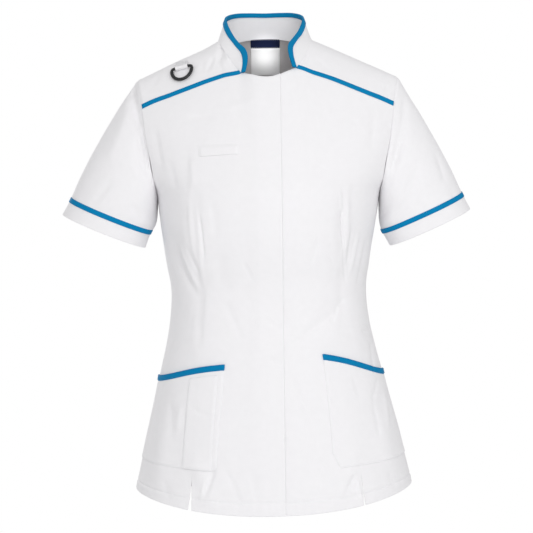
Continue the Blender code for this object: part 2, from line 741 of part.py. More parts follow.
def sleeve_grid(ring, side):
    """Points of a sleeve and its cuff, on the wearer's left: rows down from the armhole."""
    centre, wide, half = cuff_frame(side)
    down = np.array((wide[2], 0.0, -wide[0]))
    depth, sag = CUFFS[side][4:]
    start = np.array([p for p, n in ring])
    steps = np.linalg.norm(np.diff(start, axis=0, append=start[:1]), axis=1)
    length = np.concatenate(((0,), np.cumsum(steps)))
    tip = int(np.argmax(start[:, 2]))
    grid, turns = [], []
    for k, point in enumerate(start):
        if k <= tip:
            turn = math.pi * length[k] / length[tip]
        else:
            turn = math.pi * (1 + (length[k] - length[tip]) / (length[-1] - length[tip]))
        end = centre - wide * half * math.cos(turn)
        end = end + np.array((0, -depth * math.sin(turn), 0)) + down * sag * math.sin(turn)
        span = end - point
        seam = 1 - CUFF_HEIGHT / np.linalg.norm(span)
        turns.append(turn)
        shares = [share * seam for share in SLEEVE_RISE] + [(1 + seam) / 2, 1.0]
        grid.append([point + span * t for t in shares])
    grid = np.array(grid).transpose(1, 0, 2)
    hub = grid.mean(axis=1)
    for j, share in enumerate(SLEEVE_RISE):
        out = grid[j] - hub[j]
        out /= np.linalg.norm(out, axis=1)[:, None]
        ends = math.sin(math.pi * share) ** 0.8
        folds = np.array([sleeve_fold(turn, share) for turn in turns]) * min(ends * 2, 1)
        grid[j] += out * (SLEEVE_BULGE[side] * ends + folds)[:, None]
    inner = np.maximum(np.cos(turns), 0)[:, None] ** 2
    for j, share in enumerate(SLEEVE_RISE + (0.5, 0.0)):
        grid[j] -= wide * inner * SLEEVE_FLARE[side] * share
    return grid


def tube_normals(grid):
    """Outward normals of a grid whose rows are closed rings."""
    around = np.roll(grid, -1, axis=1) - np.roll(grid, 1, axis=1)
    along = np.gradient(grid, axis=0)
    normals = np.cross(around, along)
    normals /= np.linalg.norm(normals, axis=2)[:, :, None]
    hub = grid.mean(axis=1)[:, None, :]
    if float(((grid - hub) * normals).sum()) < 0:
        normals = -normals
    return normals


def armhole_mitres(ring, grid, normals):
    """For each point of the armhole: the shared way through the cloth and the way across."""
    joints = []
    below = np.array((0.0, 0.0, UNDERARM_Z - 0.06))
    for k, (point, normal) in enumerate(ring):
        tangent = ring[(k + 1) % len(ring)][0] - ring[k - 1][0]
        joints.append(mitre(normal, normals[0, k], tangent, below - point, grid[1, k] - point))
    return joints


def join(skin, rows, where, joint):
    """Gives one border point of a skin its mitre, drawn back from the seam."""
    inward, across = joint
    mirror = np.array((skin.side, 1, 1))
    skin.inward[rows, where] = inward * mirror
    skin.shift[rows, where] -= across * mirror * SEAM_GAP / 2


# The collar

def collar_stations(back_steps):
    """Angles of the collar's stations from its front end to the centre back."""
    last = neck_meets_shoulder()
    angles = [COLLAR_END + v * (last - COLLAR_END) for v in YOKE_RISE]
    return angles + [last + (180 - last) * k / back_steps for k in range(1, back_steps + 1)]


def collar_top(angle):
    return np.array([column(COLLAR_TOP, angle, k) for k in (1, 2, 3)])


def collar_outward(angle):
    """Level, away from the neck's middle."""
    x, place = neck_station(angle)
    point = shoulder_point(x, place)
    return unit(np.array((point[0], point[1] - NECK_Y, 0.0)))


def neck_mitres(angles):
    joints = []
    for k, angle in enumerate(angles):
        here = shoulder_point(*neck_station(angle))
        ahead = shoulder_point(*neck_station(min(angle + 1, 180)))
        behind = shoulder_point(*neck_station(angle - 1))
        out = collar_outward(angle)
        normal = shoulder_normal(*neck_station(angle))
        joints.append(mitre(normal, out, ahead - behind, out, collar_top(angle) - here))
    return joints


def make_collar(angles, joints):
    """The stand collar and the binding over its edge, both sides in one strip."""
    half = []
    for angle in angles:
        low = shoulder_point(*neck_station(angle))
        rise = collar_top(angle) - low
        bulge = collar_outward(angle) * COLLAR_BULGE
        edge = 1 - BINDING / np.linalg.norm(rise)
        shares = [edge * v for v in COLLAR_RISE] + [1.0]
        half.append([low + rise * v + bulge * math.sin(math.pi * v) for v in shares])
    half[0] = [p + (q - p) * COLLAR_START for p, q in zip(half[0], half[1])]
    half = np.array(half).transpose(1, 0, 2)
    mirror = np.array((-1, 1, 1))
    strip = np.concatenate(((half * mirror), half[:, ::-1][:, 1:]), axis=1)
    around = np.gradient(strip, axis=1)
    normals = np.cross(around, np.gradient(strip, axis=0))
    normals /= np.linalg.norm(normals, axis=2)[:, :, None]
    middle = len(angles) - 1
    if normals[1, middle, 1] < 0:
        normals = -normals
    skin = Skin([list(zip(line, outs)) for line, outs in zip(strip, normals)], 1)
    for k, (inward, across) in enumerate(joints):
        for place, side in ((k, -1), (2 * middle - k, 1)):
            turn = np.array((side, 1, 1))
            skin.inward[0, place] = inward * turn
            skin.shift[0, place] += across * turn * SEAM_GAP / 2
    make_wall("collar", skin)
    make_binding(strip, normals)


def make_binding(strip, normals):
    """A channel of cloth over the collar's top edge, from the collar's own two upper rows."""
    room = CLOTH / 2 + SEAM_GAP
    # row of the strip, way out from the collar's middle, way up
    wide = room + TRIM
    outer_line = ((-2, wide, 0), (-1, wide, 0.0005), (-1, 0, 0.0015), (-1, -wide, 0.0005), (-2, -wide, 0))
    inner_line = ((-2, room, 0), (-1, room, 0.0002), (-1, 0, 0.0005), (-1, -room, 0.0002), (-2, -room, 0))
    sections = []
    for line in (outer_line, inner_line):
        for row, sideways, up in line:
            for k in range(strip.shape[1]):
                normal = normals[row, k]
                rise = unit(strip[-1, k] - strip[-2, k])
                point = strip[row, k] + normal * (sideways - CLOTH / 2) + rise * up
                sections.append(settle(point))
    outer, inner = np.array_split(np.array(sections), 2)
    faces = grid_faces(len(outer_line), strip.shape[1], turned=(2, 3))
    make("collar_binding", *thicken(outer, inner, faces), BLUE)


# Piping that lies over a seam

def between(first, second, distance):
    """Points on the way from one row of a skin to the next, a distance from the first."""
    way = second - first
    return first + way / np.linalg.norm(way, axis=1)[:, None] * distance


def make_piping(name, low, seam_row, high, ring=False, ends=0.0):
    """A flat strip over a seam, from the rows below, at and above it. Each is (points, normals)."""
    half = PIPING / 2
    rows = [between(seam_row[0], low[0], half), seam_row[0], between(seam_row[0], high[0], half)]
    points = np.array(rows)
    normals = np.array([seam_row[1]] * 3)
    if ends:
        for end, inside in ((0, 1), (-1, -2)):
            points[:, end] = between(points[:, end], points[:, inside], ends)
    outer, inner = np.empty(points.shape), np.empty(points.shape)
    for index in np.ndindex(points.shape[:2]):
        point, normal = points[index], normals[index]
        start = point + normal * fold_height(point, normal)
        inner[index] = settle(start + normal * PIPING_GAP)
        outer[index] = settle(start + normal * (PIPING_GAP + TRIM))
    faces = grid_faces(3, points.shape[1], ring)
    make(name, *thicken(outer.reshape(-1, 3), inner.reshape(-1, 3), faces), BLUE)


# The vent in a front's hem

def make_front(name, skin, opening, raised):
    """A front's wall with a slit from the hem up its vent column, open by that much at the hem."""
    outer, inner = skin.place(0.0, CLOTH, raised)
    rows, columns = outer.shape[:2]
    flat_outer, flat_inner = outer.reshape(-1, 3), inner.reshape(-1, 3)
    extra_outer, extra_inner = [], []
    copies = {}
    for j in range(VENT_ROW):
        k = j * columns + VENT_COLUMN
        way = unit(outer[j, VENT_COLUMN + 1] - outer[j, VENT_COLUMN - 1])
        open_here = opening * (1 - j / VENT_ROW) / 2 + SEAM_GAP / 2
        copies[k] = rows * columns + len(extra_outer)
        extra_outer.append(flat_outer[k] + way * open_here)
        extra_inner.append(flat_inner[k] + way * open_here)
        flat_outer[k] -= way * open_here
        flat_inner[k] -= way * open_here
    faces = []
    for number, face in enumerate(grid_faces(rows, columns)):
        if (number // 2) % (columns - 1) >= VENT_COLUMN:
            face = tuple(copies.get(k, k) for k in face)
        faces.append(face)
    flat_outer = np.concatenate((flat_outer, extra_outer))
    flat_inner = np.concatenate((flat_inner, extra_inner))
    make(name, *thicken(flat_outer, flat_inner, faces), WHITE)


# The ring and its loop

def ring_frame():
    """The bar's middle, and the ways along the bar, down the yoke and out of it."""
    x = abs(RING_X)
    mirror = np.array((math.copysign(1, RING_X), 1, 1))
    bar = solve(lambda place: shoulder_point(x, place)[2] - RING_BAR_Z, 0, 1)
    normal = shoulder_normal(x, bar) * mirror
    up = shoulder_point(x, bar + 0.01) - shoulder_point(x, bar - 0.01)
    down = -unit(up * mirror)
    down = unit(down - normal * float(down @ normal))
    height = SEAM_GAP + TRIM + TAB_PLAY + RING_WIRE
    middle = settle(shoulder_point(x, bar) * mirror) + normal * height
    return middle, np.cross(down, normal), down, normal


def ring_path():
    """The D's middle line, along the bar and down the yoke, as a closed line."""
    bow = RING_DROP - RING_CORNER
    points = []
    for i in range(RING_STEPS + 1):
        turn = math.pi * i / RING_STEPS
        points.append((RING_HALF * math.cos(turn), RING_CORNER + bow * math.sin(turn) ** RING_FULL))
    for start, steps in ((180, (1, 2, 3)), (270, (0, 1, 2))):
        middle = math.copysign(RING_HALF - RING_CORNER, start - 200)
        for i in steps:
            turn = math.radians(start + 30 * i)
            points.append((middle + RING_CORNER * math.cos(turn), RING_CORNER * (1 + math.sin(turn))))
    return points


def make_ring():
    middle, along, down, normal = ring_frame()
    tilt = math.radians(RING_TILT)
    lean = down * math.cos(tilt) - normal * math.sin(tilt)
    out = np.cross(along, lean)
    if float(out @ normal) < 0:
        out = -out
    path = [along * a + lean * b for a, b in ring_path()]
    count = len(path)
    # the path's last corner points and the first and last of the bow end the bar
    bar = range(RING_STEPS + 1, count)
    rows = []
    for i, point in enumerate(path):
        tangent = unit(path[(i + 1) % count] - path[i - 1])
        across = unit(np.cross(tangent, out))
        wide = RING_WIRE if i in bar else RING_WIDE
        row = []
        for k in range(RING_SIDES):
            turn = 2 * math.pi * (k + 0.5) / RING_SIDES
            row.append(point + across * math.cos(turn) * wide + out * math.sin(turn) * RING_WIRE)
        rows.append(row)
    faces = []
    for i in range(count):
        for k in range(RING_SIDES):
            a, b = i * RING_SIDES + k, i * RING_SIDES + (k + 1) % RING_SIDES
            c, d = (i + 1) % count * RING_SIDES + (k + 1) % RING_SIDES, (i + 1) % count * RING_SIDES + k
            faces += [(a, b, c), (a, c, d)]
    thing = make("ring", np.array(rows).reshape(-1, 3), faces, BLACK, 0.4)
    place_at(thing, middle)


def make_tab():
    """The loop: a closed band round the bar, drawn out into the end that is sewn to the yoke."""
    middle, along, down, normal = ring_frame()
    hole = RING_WIRE + TAB_PLAY
    outside = hole + TRIM
    section = []
    sides = TAB_SIDES
    for k in range(sides):
        turn = 2 * math.pi * k / sides
        b, n = math.cos(turn), math.sin(turn)
        inner = (b * hole, n * hole)
        outer = (b * outside, n * outside)
        if abs(k - sides // 2) == 1:
            outer = (-TAB_TAIL, math.copysign(outside - TAB_THIN, n))
        elif k == sides // 2:
            outer = (-TAB_TAIL, 0.0)
        section.append((outer, inner))
    rows = []
    for end in (-TAB_HALF, TAB_HALF):
        rows.append([along * end + down * b + normal * n for (b, n), _ in section])
        rows.append([along * end + down * b + normal * n for _, (b, n) in section])
    points = np.array(rows).reshape(-1, 3)
    faces = []
    for k in range(sides):
        m = (k + 1) % sides
        for low, high in ((0, 1), (1, 3), (3, 2), (2, 0)):
            a, b, c, d = low * sides + k, low * sides + m, high * sides + m, high * sides + k
            faces += [(a, b, c), (a, c, d)]
    thing = make("ring_tab", points, faces, WHITE)
    place_at(thing, middle)


def place_at(thing, middle):
    thing.location = [float(v) for v in middle]


# The label inside the back of the neck

def make_label(outer, inner):
    """Two strips against the back's inner skin, from the back's own two grids of points."""
    middle = inner.shape[1] // 2
    for name, top, bottom, colour in LABEL:
        count = 1 + max(1, round((top - bottom) / LABEL_STEP))
        front, rear = [], []
        for z in np.linspace(bottom, top, count):
            centre, centre_way = column_at(z, middle, outer, inner)
            for step in (-1, 0, 1):
                side, side_way = column_at(z, middle + step, outer, inner)
                share = LABEL_HALF / max(abs(side[0] - centre[0]), LABEL_HALF)
                edge = centre + (side - centre) * share
                way = unit(centre_way + (side_way - centre_way) * share)
                rear.append(edge + way * LABEL_CLEAR)
                front.append(edge + way * (LABEL_CLEAR + TRIM))
        make(name, *thicken(np.array(rear), np.array(front), grid_faces(count, 3)), colour)


def column_at(z, where, outer, inner):
    """The inner point of a column of the back at a height, and the way in through the cloth."""
    heights = inner[:, where, 2]
    point = np.array([np.interp(z, heights, inner[:, where, k]) for k in range(3)])
    shell = np.array([np.interp(z, heights, outer[:, where, k]) for k in range(3)])
    return point, unit(point - shell)


def main():
    for thing in list(bpy.data.objects):
        bpy.data.objects.remove(thing, do_unlink=True)
    fronts = {side: front_rows(side) for side in (-1, 1)}
    front, seam = fronts[1]
    yoke, shoulder = yoke_rows(seam)
    back = back_rows(shoulder)
    ring = armhole_ring(front, yoke, back)
    below = len(ROWS)
    stations = collar_stations(len(BACK_COLUMNS) - len(shoulder))
    neck = neck_mitres(stations)
    back_skins = {}
    for side, hand in ((-1, "right"), (1, "left")):
        tube = sleeve_grid(ring, side)
        tube_out = tube_normals(tube)
        joints = armhole_mitres(ring, tube, tube_out)

        skin = Skin(fronts[side][0], side)
        skin.pull_back("top")
        skin.shift[: below + 1, -1] += (0, -SEAM_GAP / 2, 0)
        for j in range(len(UPPER_ROWS) + 2):
            join(skin, below + j, -1, joints[j])
        raised = None
        if side < 0:
            raised = np.zeros(skin.points.shape[:2])
            raised[:, :3] = WRAP_LIFT
        make_front("front_" + hand, skin, VENT_OPENING[side], raised)

        yoke_skin = Skin(yoke, side)
        yoke_skin.pull_back("bottom")
        yoke_skin.pull_back("top")
        for j in range(len(YOKE_RISE)):
            join(yoke_skin, j, -1, joints[len(UPPER_ROWS) + 1 + j])
            join(yoke_skin, j, 0, neck[j])
        make_wall("yoke_" + hand, yoke_skin)
        make_piping(
            "yoke_piping_" + hand,
            (skin.points[-2, YOKE_COLUMN:], None),
            (skin.points[-1, YOKE_COLUMN:], skin.normals[-1, YOKE_COLUMN:]),
            (yoke_skin.points[1], None),
            ends=0.001,
        )

        half = Skin(back, side)
        half.pull_back("top")
        half.shift[: below + 1, 0] += (0, SEAM_GAP / 2, 0)
        last = len(ring)
        for j in range(len(BACK_RISE)):
            join(half, below + j, 0, joints[(last - j) % last])
        turn = len(shoulder) - 1
        half.shift[-1, turn + 1 :] = 0
        for k in range(turn, len(BACK_COLUMNS)):
            join(half, -1, k, neck[len(YOKE_RISE) - 1 + k - turn])
        back_skins[side] = half

        pocket = skin.part(POCKET_ROWS[:2], (POCKET_COLUMN, skin.points.shape[1] - 1))
        pocket.pull_back("top")
        pocket.pull_back("right")
        make_on("hip_pocket_" + hand, pocket)
        mouth = skin.part(POCKET_ROWS[1:], (POCKET_COLUMN, skin.points.shape[1] - 1))
        mouth.pull_back("bottom")
        mouth.pull_back("right")
        make_on("pocket_piping_" + hand, mouth, BLUE, CLOTH + 0.0004)
        if side < 0:
            pen = skin.part((POCKET_ROWS[0], PEN_TOP_ROW), PEN_COLUMNS)
            make_on("pen_pocket", pen, WHITE, TRIM, SEAM_GAP + CLOTH)
            welt = skin.part((below + WELT_ROWS[0], below + WELT_ROWS[1]), WELT_COLUMNS)
            make_on("chest_welt", welt, WHITE, TRIM)

        make_sleeve(hand, side, tube, tube_out, joints)
    make_label(*make_back(back_skins))
    make_collar(stations, neck)
    make_tab()
    make_ring()


def make_sleeve(hand, side, tube, normals, joints):
    """A sleeve, its cuff and the piping over their seam."""
    rows = [list(zip(points, outs)) for points, outs in zip(tube, normals)]
    seam = len(SLEEVE_RISE) - 1
    whole = Skin(rows, side)
    mirror = np.array((side, 1, 1))
    for k, (inward, across) in enumerate(joints):
        whole.inward[0, k] = inward * mirror
        whole.shift[0, k] += across * mirror * SEAM_GAP / 2
    lengths = (("sleeve_", 0, seam, "top"), ("cuff_", seam, len(rows) - 1, "bottom"))
    for name, first, last, edge in lengths:
        skin = whole.part((first, last), (0, tube.shape[1] - 1))
        skin.inward = whole.inward[first : last + 1].copy()
        skin.shift = whole.shift[first : last + 1].copy()
        skin.pull_back(edge)
        outer, inner = skin.place()
        faces = grid_faces(last - first + 1, tube.shape[1], True)
        make(name + hand, *thicken(outer.reshape(-1, 3), inner.reshape(-1, 3), faces), WHITE)
    make_piping(
        "cuff_piping_" + hand,
        (whole.points[seam + 1], None),
        (whole.points[seam], whole.normals[seam]),
        (whole.points[seam - 1], None),
        True,
    )


def make_back(skins):
    """Both halves of the back as one panel; returns its outer and inner points."""
    whole = Skin.__new__(Skin)
    whole.side = 1
    for name in ("points", "normals", "inward", "shift"):
        right, left = getattr(skins[-1], name), getattr(skins[1], name)
        setattr(whole, name, np.concatenate((right, left[:, ::-1][:, 1:]), axis=1))
    make_wall("back", whole)
    return whole.place()


main()
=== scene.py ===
# %% [markdown]
# A women's medical tunic, filled out as if worn, seen from the front. Its cloth is white
# poly-cotton with blue trim. The packed solids give every seam, edge and mount. This file lays a
# thin, creased shell of cloth over each of them, and adds the sewing, the trim, the label and
# the moulded ring. The same few sizes and tables that shape the solids shape the shells, so that
# the two agree everywhere. Everything here is measured in metres, but for the table of the finer
# creases, which is in millimetres.

# %% Load the packed tunic
import math
from functools import lru_cache

import bpy
import numpy as np
from mathutils import Matrix, Vector


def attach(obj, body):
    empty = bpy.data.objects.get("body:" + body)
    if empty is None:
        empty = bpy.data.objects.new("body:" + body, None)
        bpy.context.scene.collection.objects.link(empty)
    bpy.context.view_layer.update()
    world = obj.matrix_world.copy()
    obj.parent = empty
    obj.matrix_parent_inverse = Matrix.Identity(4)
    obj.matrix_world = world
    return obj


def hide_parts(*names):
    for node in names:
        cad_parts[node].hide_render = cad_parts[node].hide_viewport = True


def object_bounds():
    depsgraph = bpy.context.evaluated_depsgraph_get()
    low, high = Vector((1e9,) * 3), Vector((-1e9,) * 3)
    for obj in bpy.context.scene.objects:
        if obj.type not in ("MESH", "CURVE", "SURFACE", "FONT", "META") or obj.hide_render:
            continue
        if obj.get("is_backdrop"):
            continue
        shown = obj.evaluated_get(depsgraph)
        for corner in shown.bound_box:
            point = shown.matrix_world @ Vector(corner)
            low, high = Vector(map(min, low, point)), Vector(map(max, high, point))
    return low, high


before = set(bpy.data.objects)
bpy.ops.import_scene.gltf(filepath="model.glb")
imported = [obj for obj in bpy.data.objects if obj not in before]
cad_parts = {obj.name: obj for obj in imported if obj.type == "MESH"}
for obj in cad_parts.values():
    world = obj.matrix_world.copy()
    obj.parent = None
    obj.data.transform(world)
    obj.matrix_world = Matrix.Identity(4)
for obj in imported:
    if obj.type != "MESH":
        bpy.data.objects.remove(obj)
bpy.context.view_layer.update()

CLOTH_BODY = "tunic"
RING_BODY = "d_ring"

# %% [markdown]
# The cut of the garment in numbers. A pattern maker would give the same things: how deep and
# wide the body is at each height, where the shoulder line, the armholes and the neck run, and how
# wide the trim is.

# %% Driving sizes
# Driving dimensions, in metres
CLOTH = 0.0012  # thickness of the cloth walls
TRIM = 0.0010  # thickness of piping, binding and label
SEAM_GAP = 0.0003  # between two pieces at a seam, and under what lies on a panel
PLAN_POWER = 2.2  # how square the garment's horizontal sections are
SIDE_WIDTH = 0.172  # half width at the underarm
UNDERARM_Z = -0.240
HEM_SIDE_Z = -0.688  # height of the hem at the side
HEM_DROP = 0.028  # the hem hangs this much lower at the centre than at the side
WRAP = 0.0165  # how far each front passes the centre
WRAP_LIFT = 0.0020  # how far the upper front is raised over the lower one
ARCH_POWER = 3.0  # how square the shoulder is, seen from the side
SHOULDER_SPREAD = 0.068  # how much further out the sections close at the shoulder than underarm
SPREAD_POWER = 1.7  # how soon on the way up they spread
CHEST_DEPTH = 0.140  # front depth at the underarm
CHEST_SLOPE = 0.073  # how much of it is lost up to the shoulder
BACK_DEPTH = 0.115  # and the back depth, the same all the way up
RIDGE_Y = -0.006  # the shoulder line lies this far forward
NECK_HALF = 0.073  # half width of the neck seam
NECK_Y = -0.008  # its middle, from front to back
NECK_FRONT = 0.080  # how far forward of that it reaches
NECK_BACK = 0.066  # and how far back
COLLAR_END_X = 0.044  # where the collar and the yoke seam start
SHOULDER_SEAM = 1.05  # on the arch: 0 front underarm level, 1 the ridge, 2 back underarm level
CUFF_HEIGHT = 0.0255  # from a cuff's seam to its edge
PIPING = 0.0078  # width of the blue piping
PIPING_GAP = 0.0005  # under piping that bends over a seam
BINDING = 0.0072  # depth of the collar binding
COLLAR_BULGE = 0.0015  # how far the collar curves out between its edges
COLLAR_START = 0.07  # how far the collar's end keeps from the front, as a share of its first step
print("front depth", CHEST_DEPTH, "collar end", COLLAR_END_X)

# %% [markdown]
# A garment's outline is never made of straight stretches. Each table below is read through a
# smooth curve, so a few measured rows are enough.

# %% Curves through tables
def smooth_between(value, keys, values):
    """A smooth curve through the rows (keys, values), held level past both ends."""
    keys = np.array(keys, float)
    values = np.array(values, float)
    if keys[0] > keys[-1]:
        keys, values = keys[::-1], values[::-1]
    value = np.clip(value, keys[0], keys[-1])
    i = np.clip(np.searchsorted(keys, value) - 1, 0, len(keys) - 2)
    span = np.diff(keys)
    steps = np.diff(values) / span
    slopes = np.concatenate((steps[:1], (steps[:-1] + steps[1:]) / 2, steps[-1:]))
    t = (value - keys[i]) / span[i]
    low = values[i] + t * span[i] * slopes[i]
    high = values[i + 1] - (1 - t) * span[i] * slopes[i + 1]
    share = t * t * (3 - 2 * t)
    return low * (1 - share) + high * share


def column(table, key, place):
    """The value of one named column of a table at a key in its first column."""
    return smooth_between(key, [row[0] for row in table], [row[place] for row in table])


def step_up(value, low, high):
    """0 below low, 1 above high, smooth between; low may be the greater."""
    t = np.clip((value - low) / (high - low), 0.0, 1.0)
    return t * t * (3 - 2 * t)


def unit(vector):
    return vector / np.maximum(np.linalg.norm(vector, axis=-1, keepdims=True), 1e-12)


def part_power(value):
    """Turns a sine or cosine into the coordinate of the garment's rounded-square sections."""
    return np.sign(value) * np.abs(value) ** (2 / PLAN_POWER)


print("a curve halfway between 0 and 1:", float(smooth_between(0.5, (0, 1), (0, 1))))

# %% [markdown]
# Below the underarm the body is a stack of rounded sections, like the paper rings of a dress
# form. Each is a superellipse with its own width, front depth and back depth.

# %% The body below the underarm
# Sections of the body below the underarm
# height, half width, front depth, back depth
BODY = (
    (-0.240, 0.1720, 0.140, 0.115),
    (-0.300, 0.1640, 0.137, 0.104),
    (-0.350, 0.1560, 0.126, 0.093),
    (-0.400, 0.1515, 0.116, 0.088),
    (-0.450, 0.1580, 0.118, 0.096),
    (-0.500, 0.1690, 0.122, 0.112),
    (-0.560, 0.1835, 0.128, 0.126),
    (-0.620, 0.1980, 0.135, 0.133),
    (-0.720, 0.2205, 0.147, 0.141),
)


def body_point(angle, z):
    """Below the underarm: angle 0 is the centre front, 90 the side, 180 the centre back."""
    turn = math.radians(angle)
    width = column(BODY, z, 1)
    depth = column(BODY, z, 2 if math.cos(turn) > 0 else 3)
    return np.array((width * part_power(math.sin(turn)), -depth * part_power(math.cos(turn)), z))


def body_angle(x, z):
    """The angle on the front where the body is x from the centre."""
    share = min(abs(x) / column(BODY, z, 1), 1.0)
    return math.copysign(math.degrees(math.asin(share ** (PLAN_POWER / 2))), x)


def body_normal(angle, z):
    around = body_point(angle + 0.5, z) - body_point(angle - 0.5, z)
    up = body_point(angle, z + 0.002) - body_point(angle, z - 0.002)
    return unit(np.cross(around, up))


print("waist half width", round(float(body_point(90, -0.4)[0]), 4))

# %% [markdown]
# Above the underarm the cloth arches over the shoulders. Seen from the side it is a rounded
# square from the chest over the shoulder ridge to the back, and seen from the front the ridge
# falls along the shoulder line.

# %% The shoulders
# The shoulder line: distance from the centre, height
SHOULDER = (
    (0.0, 0.0290),
    (0.023, 0.0262),
    (0.045, 0.0155),
    (0.073, 0.0),
    (0.140, -0.0305),
    (0.204, -0.0600),
)
# The armhole seam: height, distance from the centre
ARMHOLE = ((-0.240, 0.172), (-0.196, 0.178), (-0.157, 0.1855), (-0.106, 0.1925), (-0.059, 0.2015))

ARCH_HIGH, ARCH_DEEP = 0.21, 0.10  # its usual height and depth, which space its places evenly
ARCH_STEPS = 180


def arch_table():
    """The shoulder's arch, evenly spaced along its length: place, height share, depth share."""
    rows = []
    length = 0.0
    last = (0.0, 1.0)
    for i in range(ARCH_STEPS + 1):
        turn = math.radians(90 * i / ARCH_STEPS)
        here = (math.sin(turn) ** (2 / ARCH_POWER), math.cos(turn) ** (2 / ARCH_POWER))
        length += math.hypot(ARCH_HIGH * (here[0] - last[0]), ARCH_DEEP * (here[1] - last[1]))
        rows.append((length, here[0], here[1]))
        last = here
    return np.array(rows) / (length, 1, 1)


ARCH = arch_table()


def arch(place):
    """Height share and depth share at a place: 0 front, 1 ridge, 2 back."""
    near = place if place <= 1 else 2 - place
    height = float(np.interp(near, ARCH[:, 0], ARCH[:, 1]))
    depth = float(np.interp(near, ARCH[:, 0], ARCH[:, 2]))
    return height, depth if place <= 1 else -depth


def shoulder_point(x, place):
    """Above the underarm: x from the centre, and the place on the shoulder's arch."""
    height, depth = arch(place)
    z = UNDERARM_Z + (column(SHOULDER, abs(x), 1) - UNDERARM_Z) * height
    width = SIDE_WIDTH + SHOULDER_SPREAD * (1 - (1 - height) ** SPREAD_POWER)
    bow = max(1 - (abs(x) / width) ** PLAN_POWER, 0.0) ** (1 / PLAN_POWER)
    full = CHEST_DEPTH - CHEST_SLOPE * height if place <= 1 else BACK_DEPTH
    return np.array((x, RIDGE_Y * height**3 - depth * full * bow, z))


def shoulder_normal(x, place):
    across = shoulder_point(x + 0.001, place) - shoulder_point(x - 0.001, place)
    low, high = max(place - 0.01, 0.0), min(place + 0.01, 2.0)
    return unit(np.cross(across, shoulder_point(x, high) - shoulder_point(x, low)))


def solve(miss, low, high):
    """Where a rising function of one number passes zero."""
    for _ in range(40):
        middle = (low + high) / 2
        if miss(middle) < 0:
            low = middle
        else:
            high = middle
    return (low + high) / 2


@lru_cache(maxsize=None)
def armhole_x(place):
    """How far from the centre the armhole seam lies at a place on the arch."""
    x = SIDE_WIDTH
    for _ in range(12):
        x = column(ARMHOLE, shoulder_point(min(x, SIDE_WIDTH + 0.06), place)[2], 1)
    return x


print("the shoulder ends", round(float(armhole_x(1.0)), 4), "from the centre")

# %% [markdown]
# The neck seam is a rounded ring cut into the shoulders. The yoke seam starts where the collar
# ends and runs down to the armhole.

# %% The neck and the yoke seam
# The yoke seam: distance from the centre, height. It starts at the collar's end.
YOKE_SEAM = ((0.079, -0.0622), (0.117, -0.0757), (0.155, -0.0893), (0.179, -0.0978), (0.210, -0.1120))
# The collar's top edge: angle of the neck station, then the point on the wearer's left side
COLLAR_TOP = (
    (35.0, 0.0365, -0.0830, -0.0550),
    (45.0, 0.0320, -0.0770, -0.0380),
    (55.0, 0.0330, -0.0670, -0.0230),
    (65.0, 0.0415, -0.0510, -0.0060),
    (75.0, 0.0500, -0.0340, 0.0080),
    (90.0, 0.0585, -0.0120, 0.0270),
    (105.0, 0.0610, 0.0060, 0.0370),
    (120.0, 0.0580, 0.0240, 0.0445),
    (135.0, 0.0490, 0.0410, 0.0500),
    (150.0, 0.0360, 0.0520, 0.0530),
    (165.0, 0.0190, 0.0595, 0.0540),
    (180.0, 0.0000, 0.0620, 0.0540),
)


@lru_cache(maxsize=None)
def neck_station(angle):
    """The neck seam: x and the place on the arch, at an angle from the centre front."""
    turn = math.radians(angle)
    depth = NECK_FRONT if math.cos(turn) > 0 else NECK_BACK
    x = NECK_HALF * part_power(math.sin(turn))
    y = NECK_Y - depth * part_power(math.cos(turn))
    return x, solve(lambda place: shoulder_point(x, place)[1] - y, 0.0, 2.0)


def neck_angle(x):
    """The station on the front of the neck that is x from the centre."""
    return math.copysign(math.degrees(math.asin((abs(x) / NECK_HALF) ** (PLAN_POWER / 2))), x)


COLLAR_END = neck_angle(COLLAR_END_X)
SEAM_START_Z = float(shoulder_point(*neck_station(COLLAR_END))[2])
SEAM_LINE = ((COLLAR_END_X, SEAM_START_Z),) + YOKE_SEAM


def seam_place(x):
    """The place on the arch where the yoke seam crosses x."""
    z = column(SEAM_LINE, x, 1)
    return solve(lambda place: shoulder_point(x, place)[2] - z, 0.0, 1.0)


def seam_end():
    """x of the yoke seam where it meets the armhole."""
    return solve(lambda x: x - armhole_x(seam_place(x)), 0.16, 0.21)


def neck_meets_shoulder():
    """The neck station where the shoulder seam starts."""
    return solve(lambda angle: neck_station(angle)[1] - SHOULDER_SEAM, 60.0, 140.0)


print("the collar starts at", round(float(COLLAR_END), 1), "degrees from the centre front")

# %% [markdown]
# Nothing hangs quite straight. In the photo the body sways a little to the wearer's right, and
# the neck and the hem tilt. One function moves any point of the garment so.

# %% How the tunic hangs
# How far the garment's sides hang towards the wearer's right: height, shift
SWAY = (
    (0.020, -0.0020),
    (-0.100, -0.0023),
    (-0.240, -0.0030),
    (-0.330, -0.0050),
    (-0.400, -0.0040),
    (-0.480, -0.0025),
    (-0.560, -0.0012),
    (-0.640, 0.0),
)
NECK_SWAY = 0.0055  # how far the neck hangs towards the wearer's right
NECK_TILT = 0.085  # how much higher the neck's left side lies, for each metre across
YOKE_SHARE = 0.25  # how much of that tilt fades over the whole yoke, not beside the collar
NECK_LIFT = 0.009  # how much higher the front neckline is pulled at the centre
HEM_TILT = 0.010  # the same for the hem
# Where each move starts and where it is in full: across, for the sides, the neck's sway, its tilt
# by the collar and over the yoke, and the lift; up, for the sway, the tilt and the hem; and forward
SETTLE_ACROSS = ((0.03, 0.13), (0.105, 0.065), (0.070, 0.040), (0.21, 0.05), (0.046, 0.022))
SETTLE_UP = ((-0.055, 0.010), (-0.125, -0.065), (-0.45, -0.69))
SETTLE_FORWARD = (-0.02, -0.07)


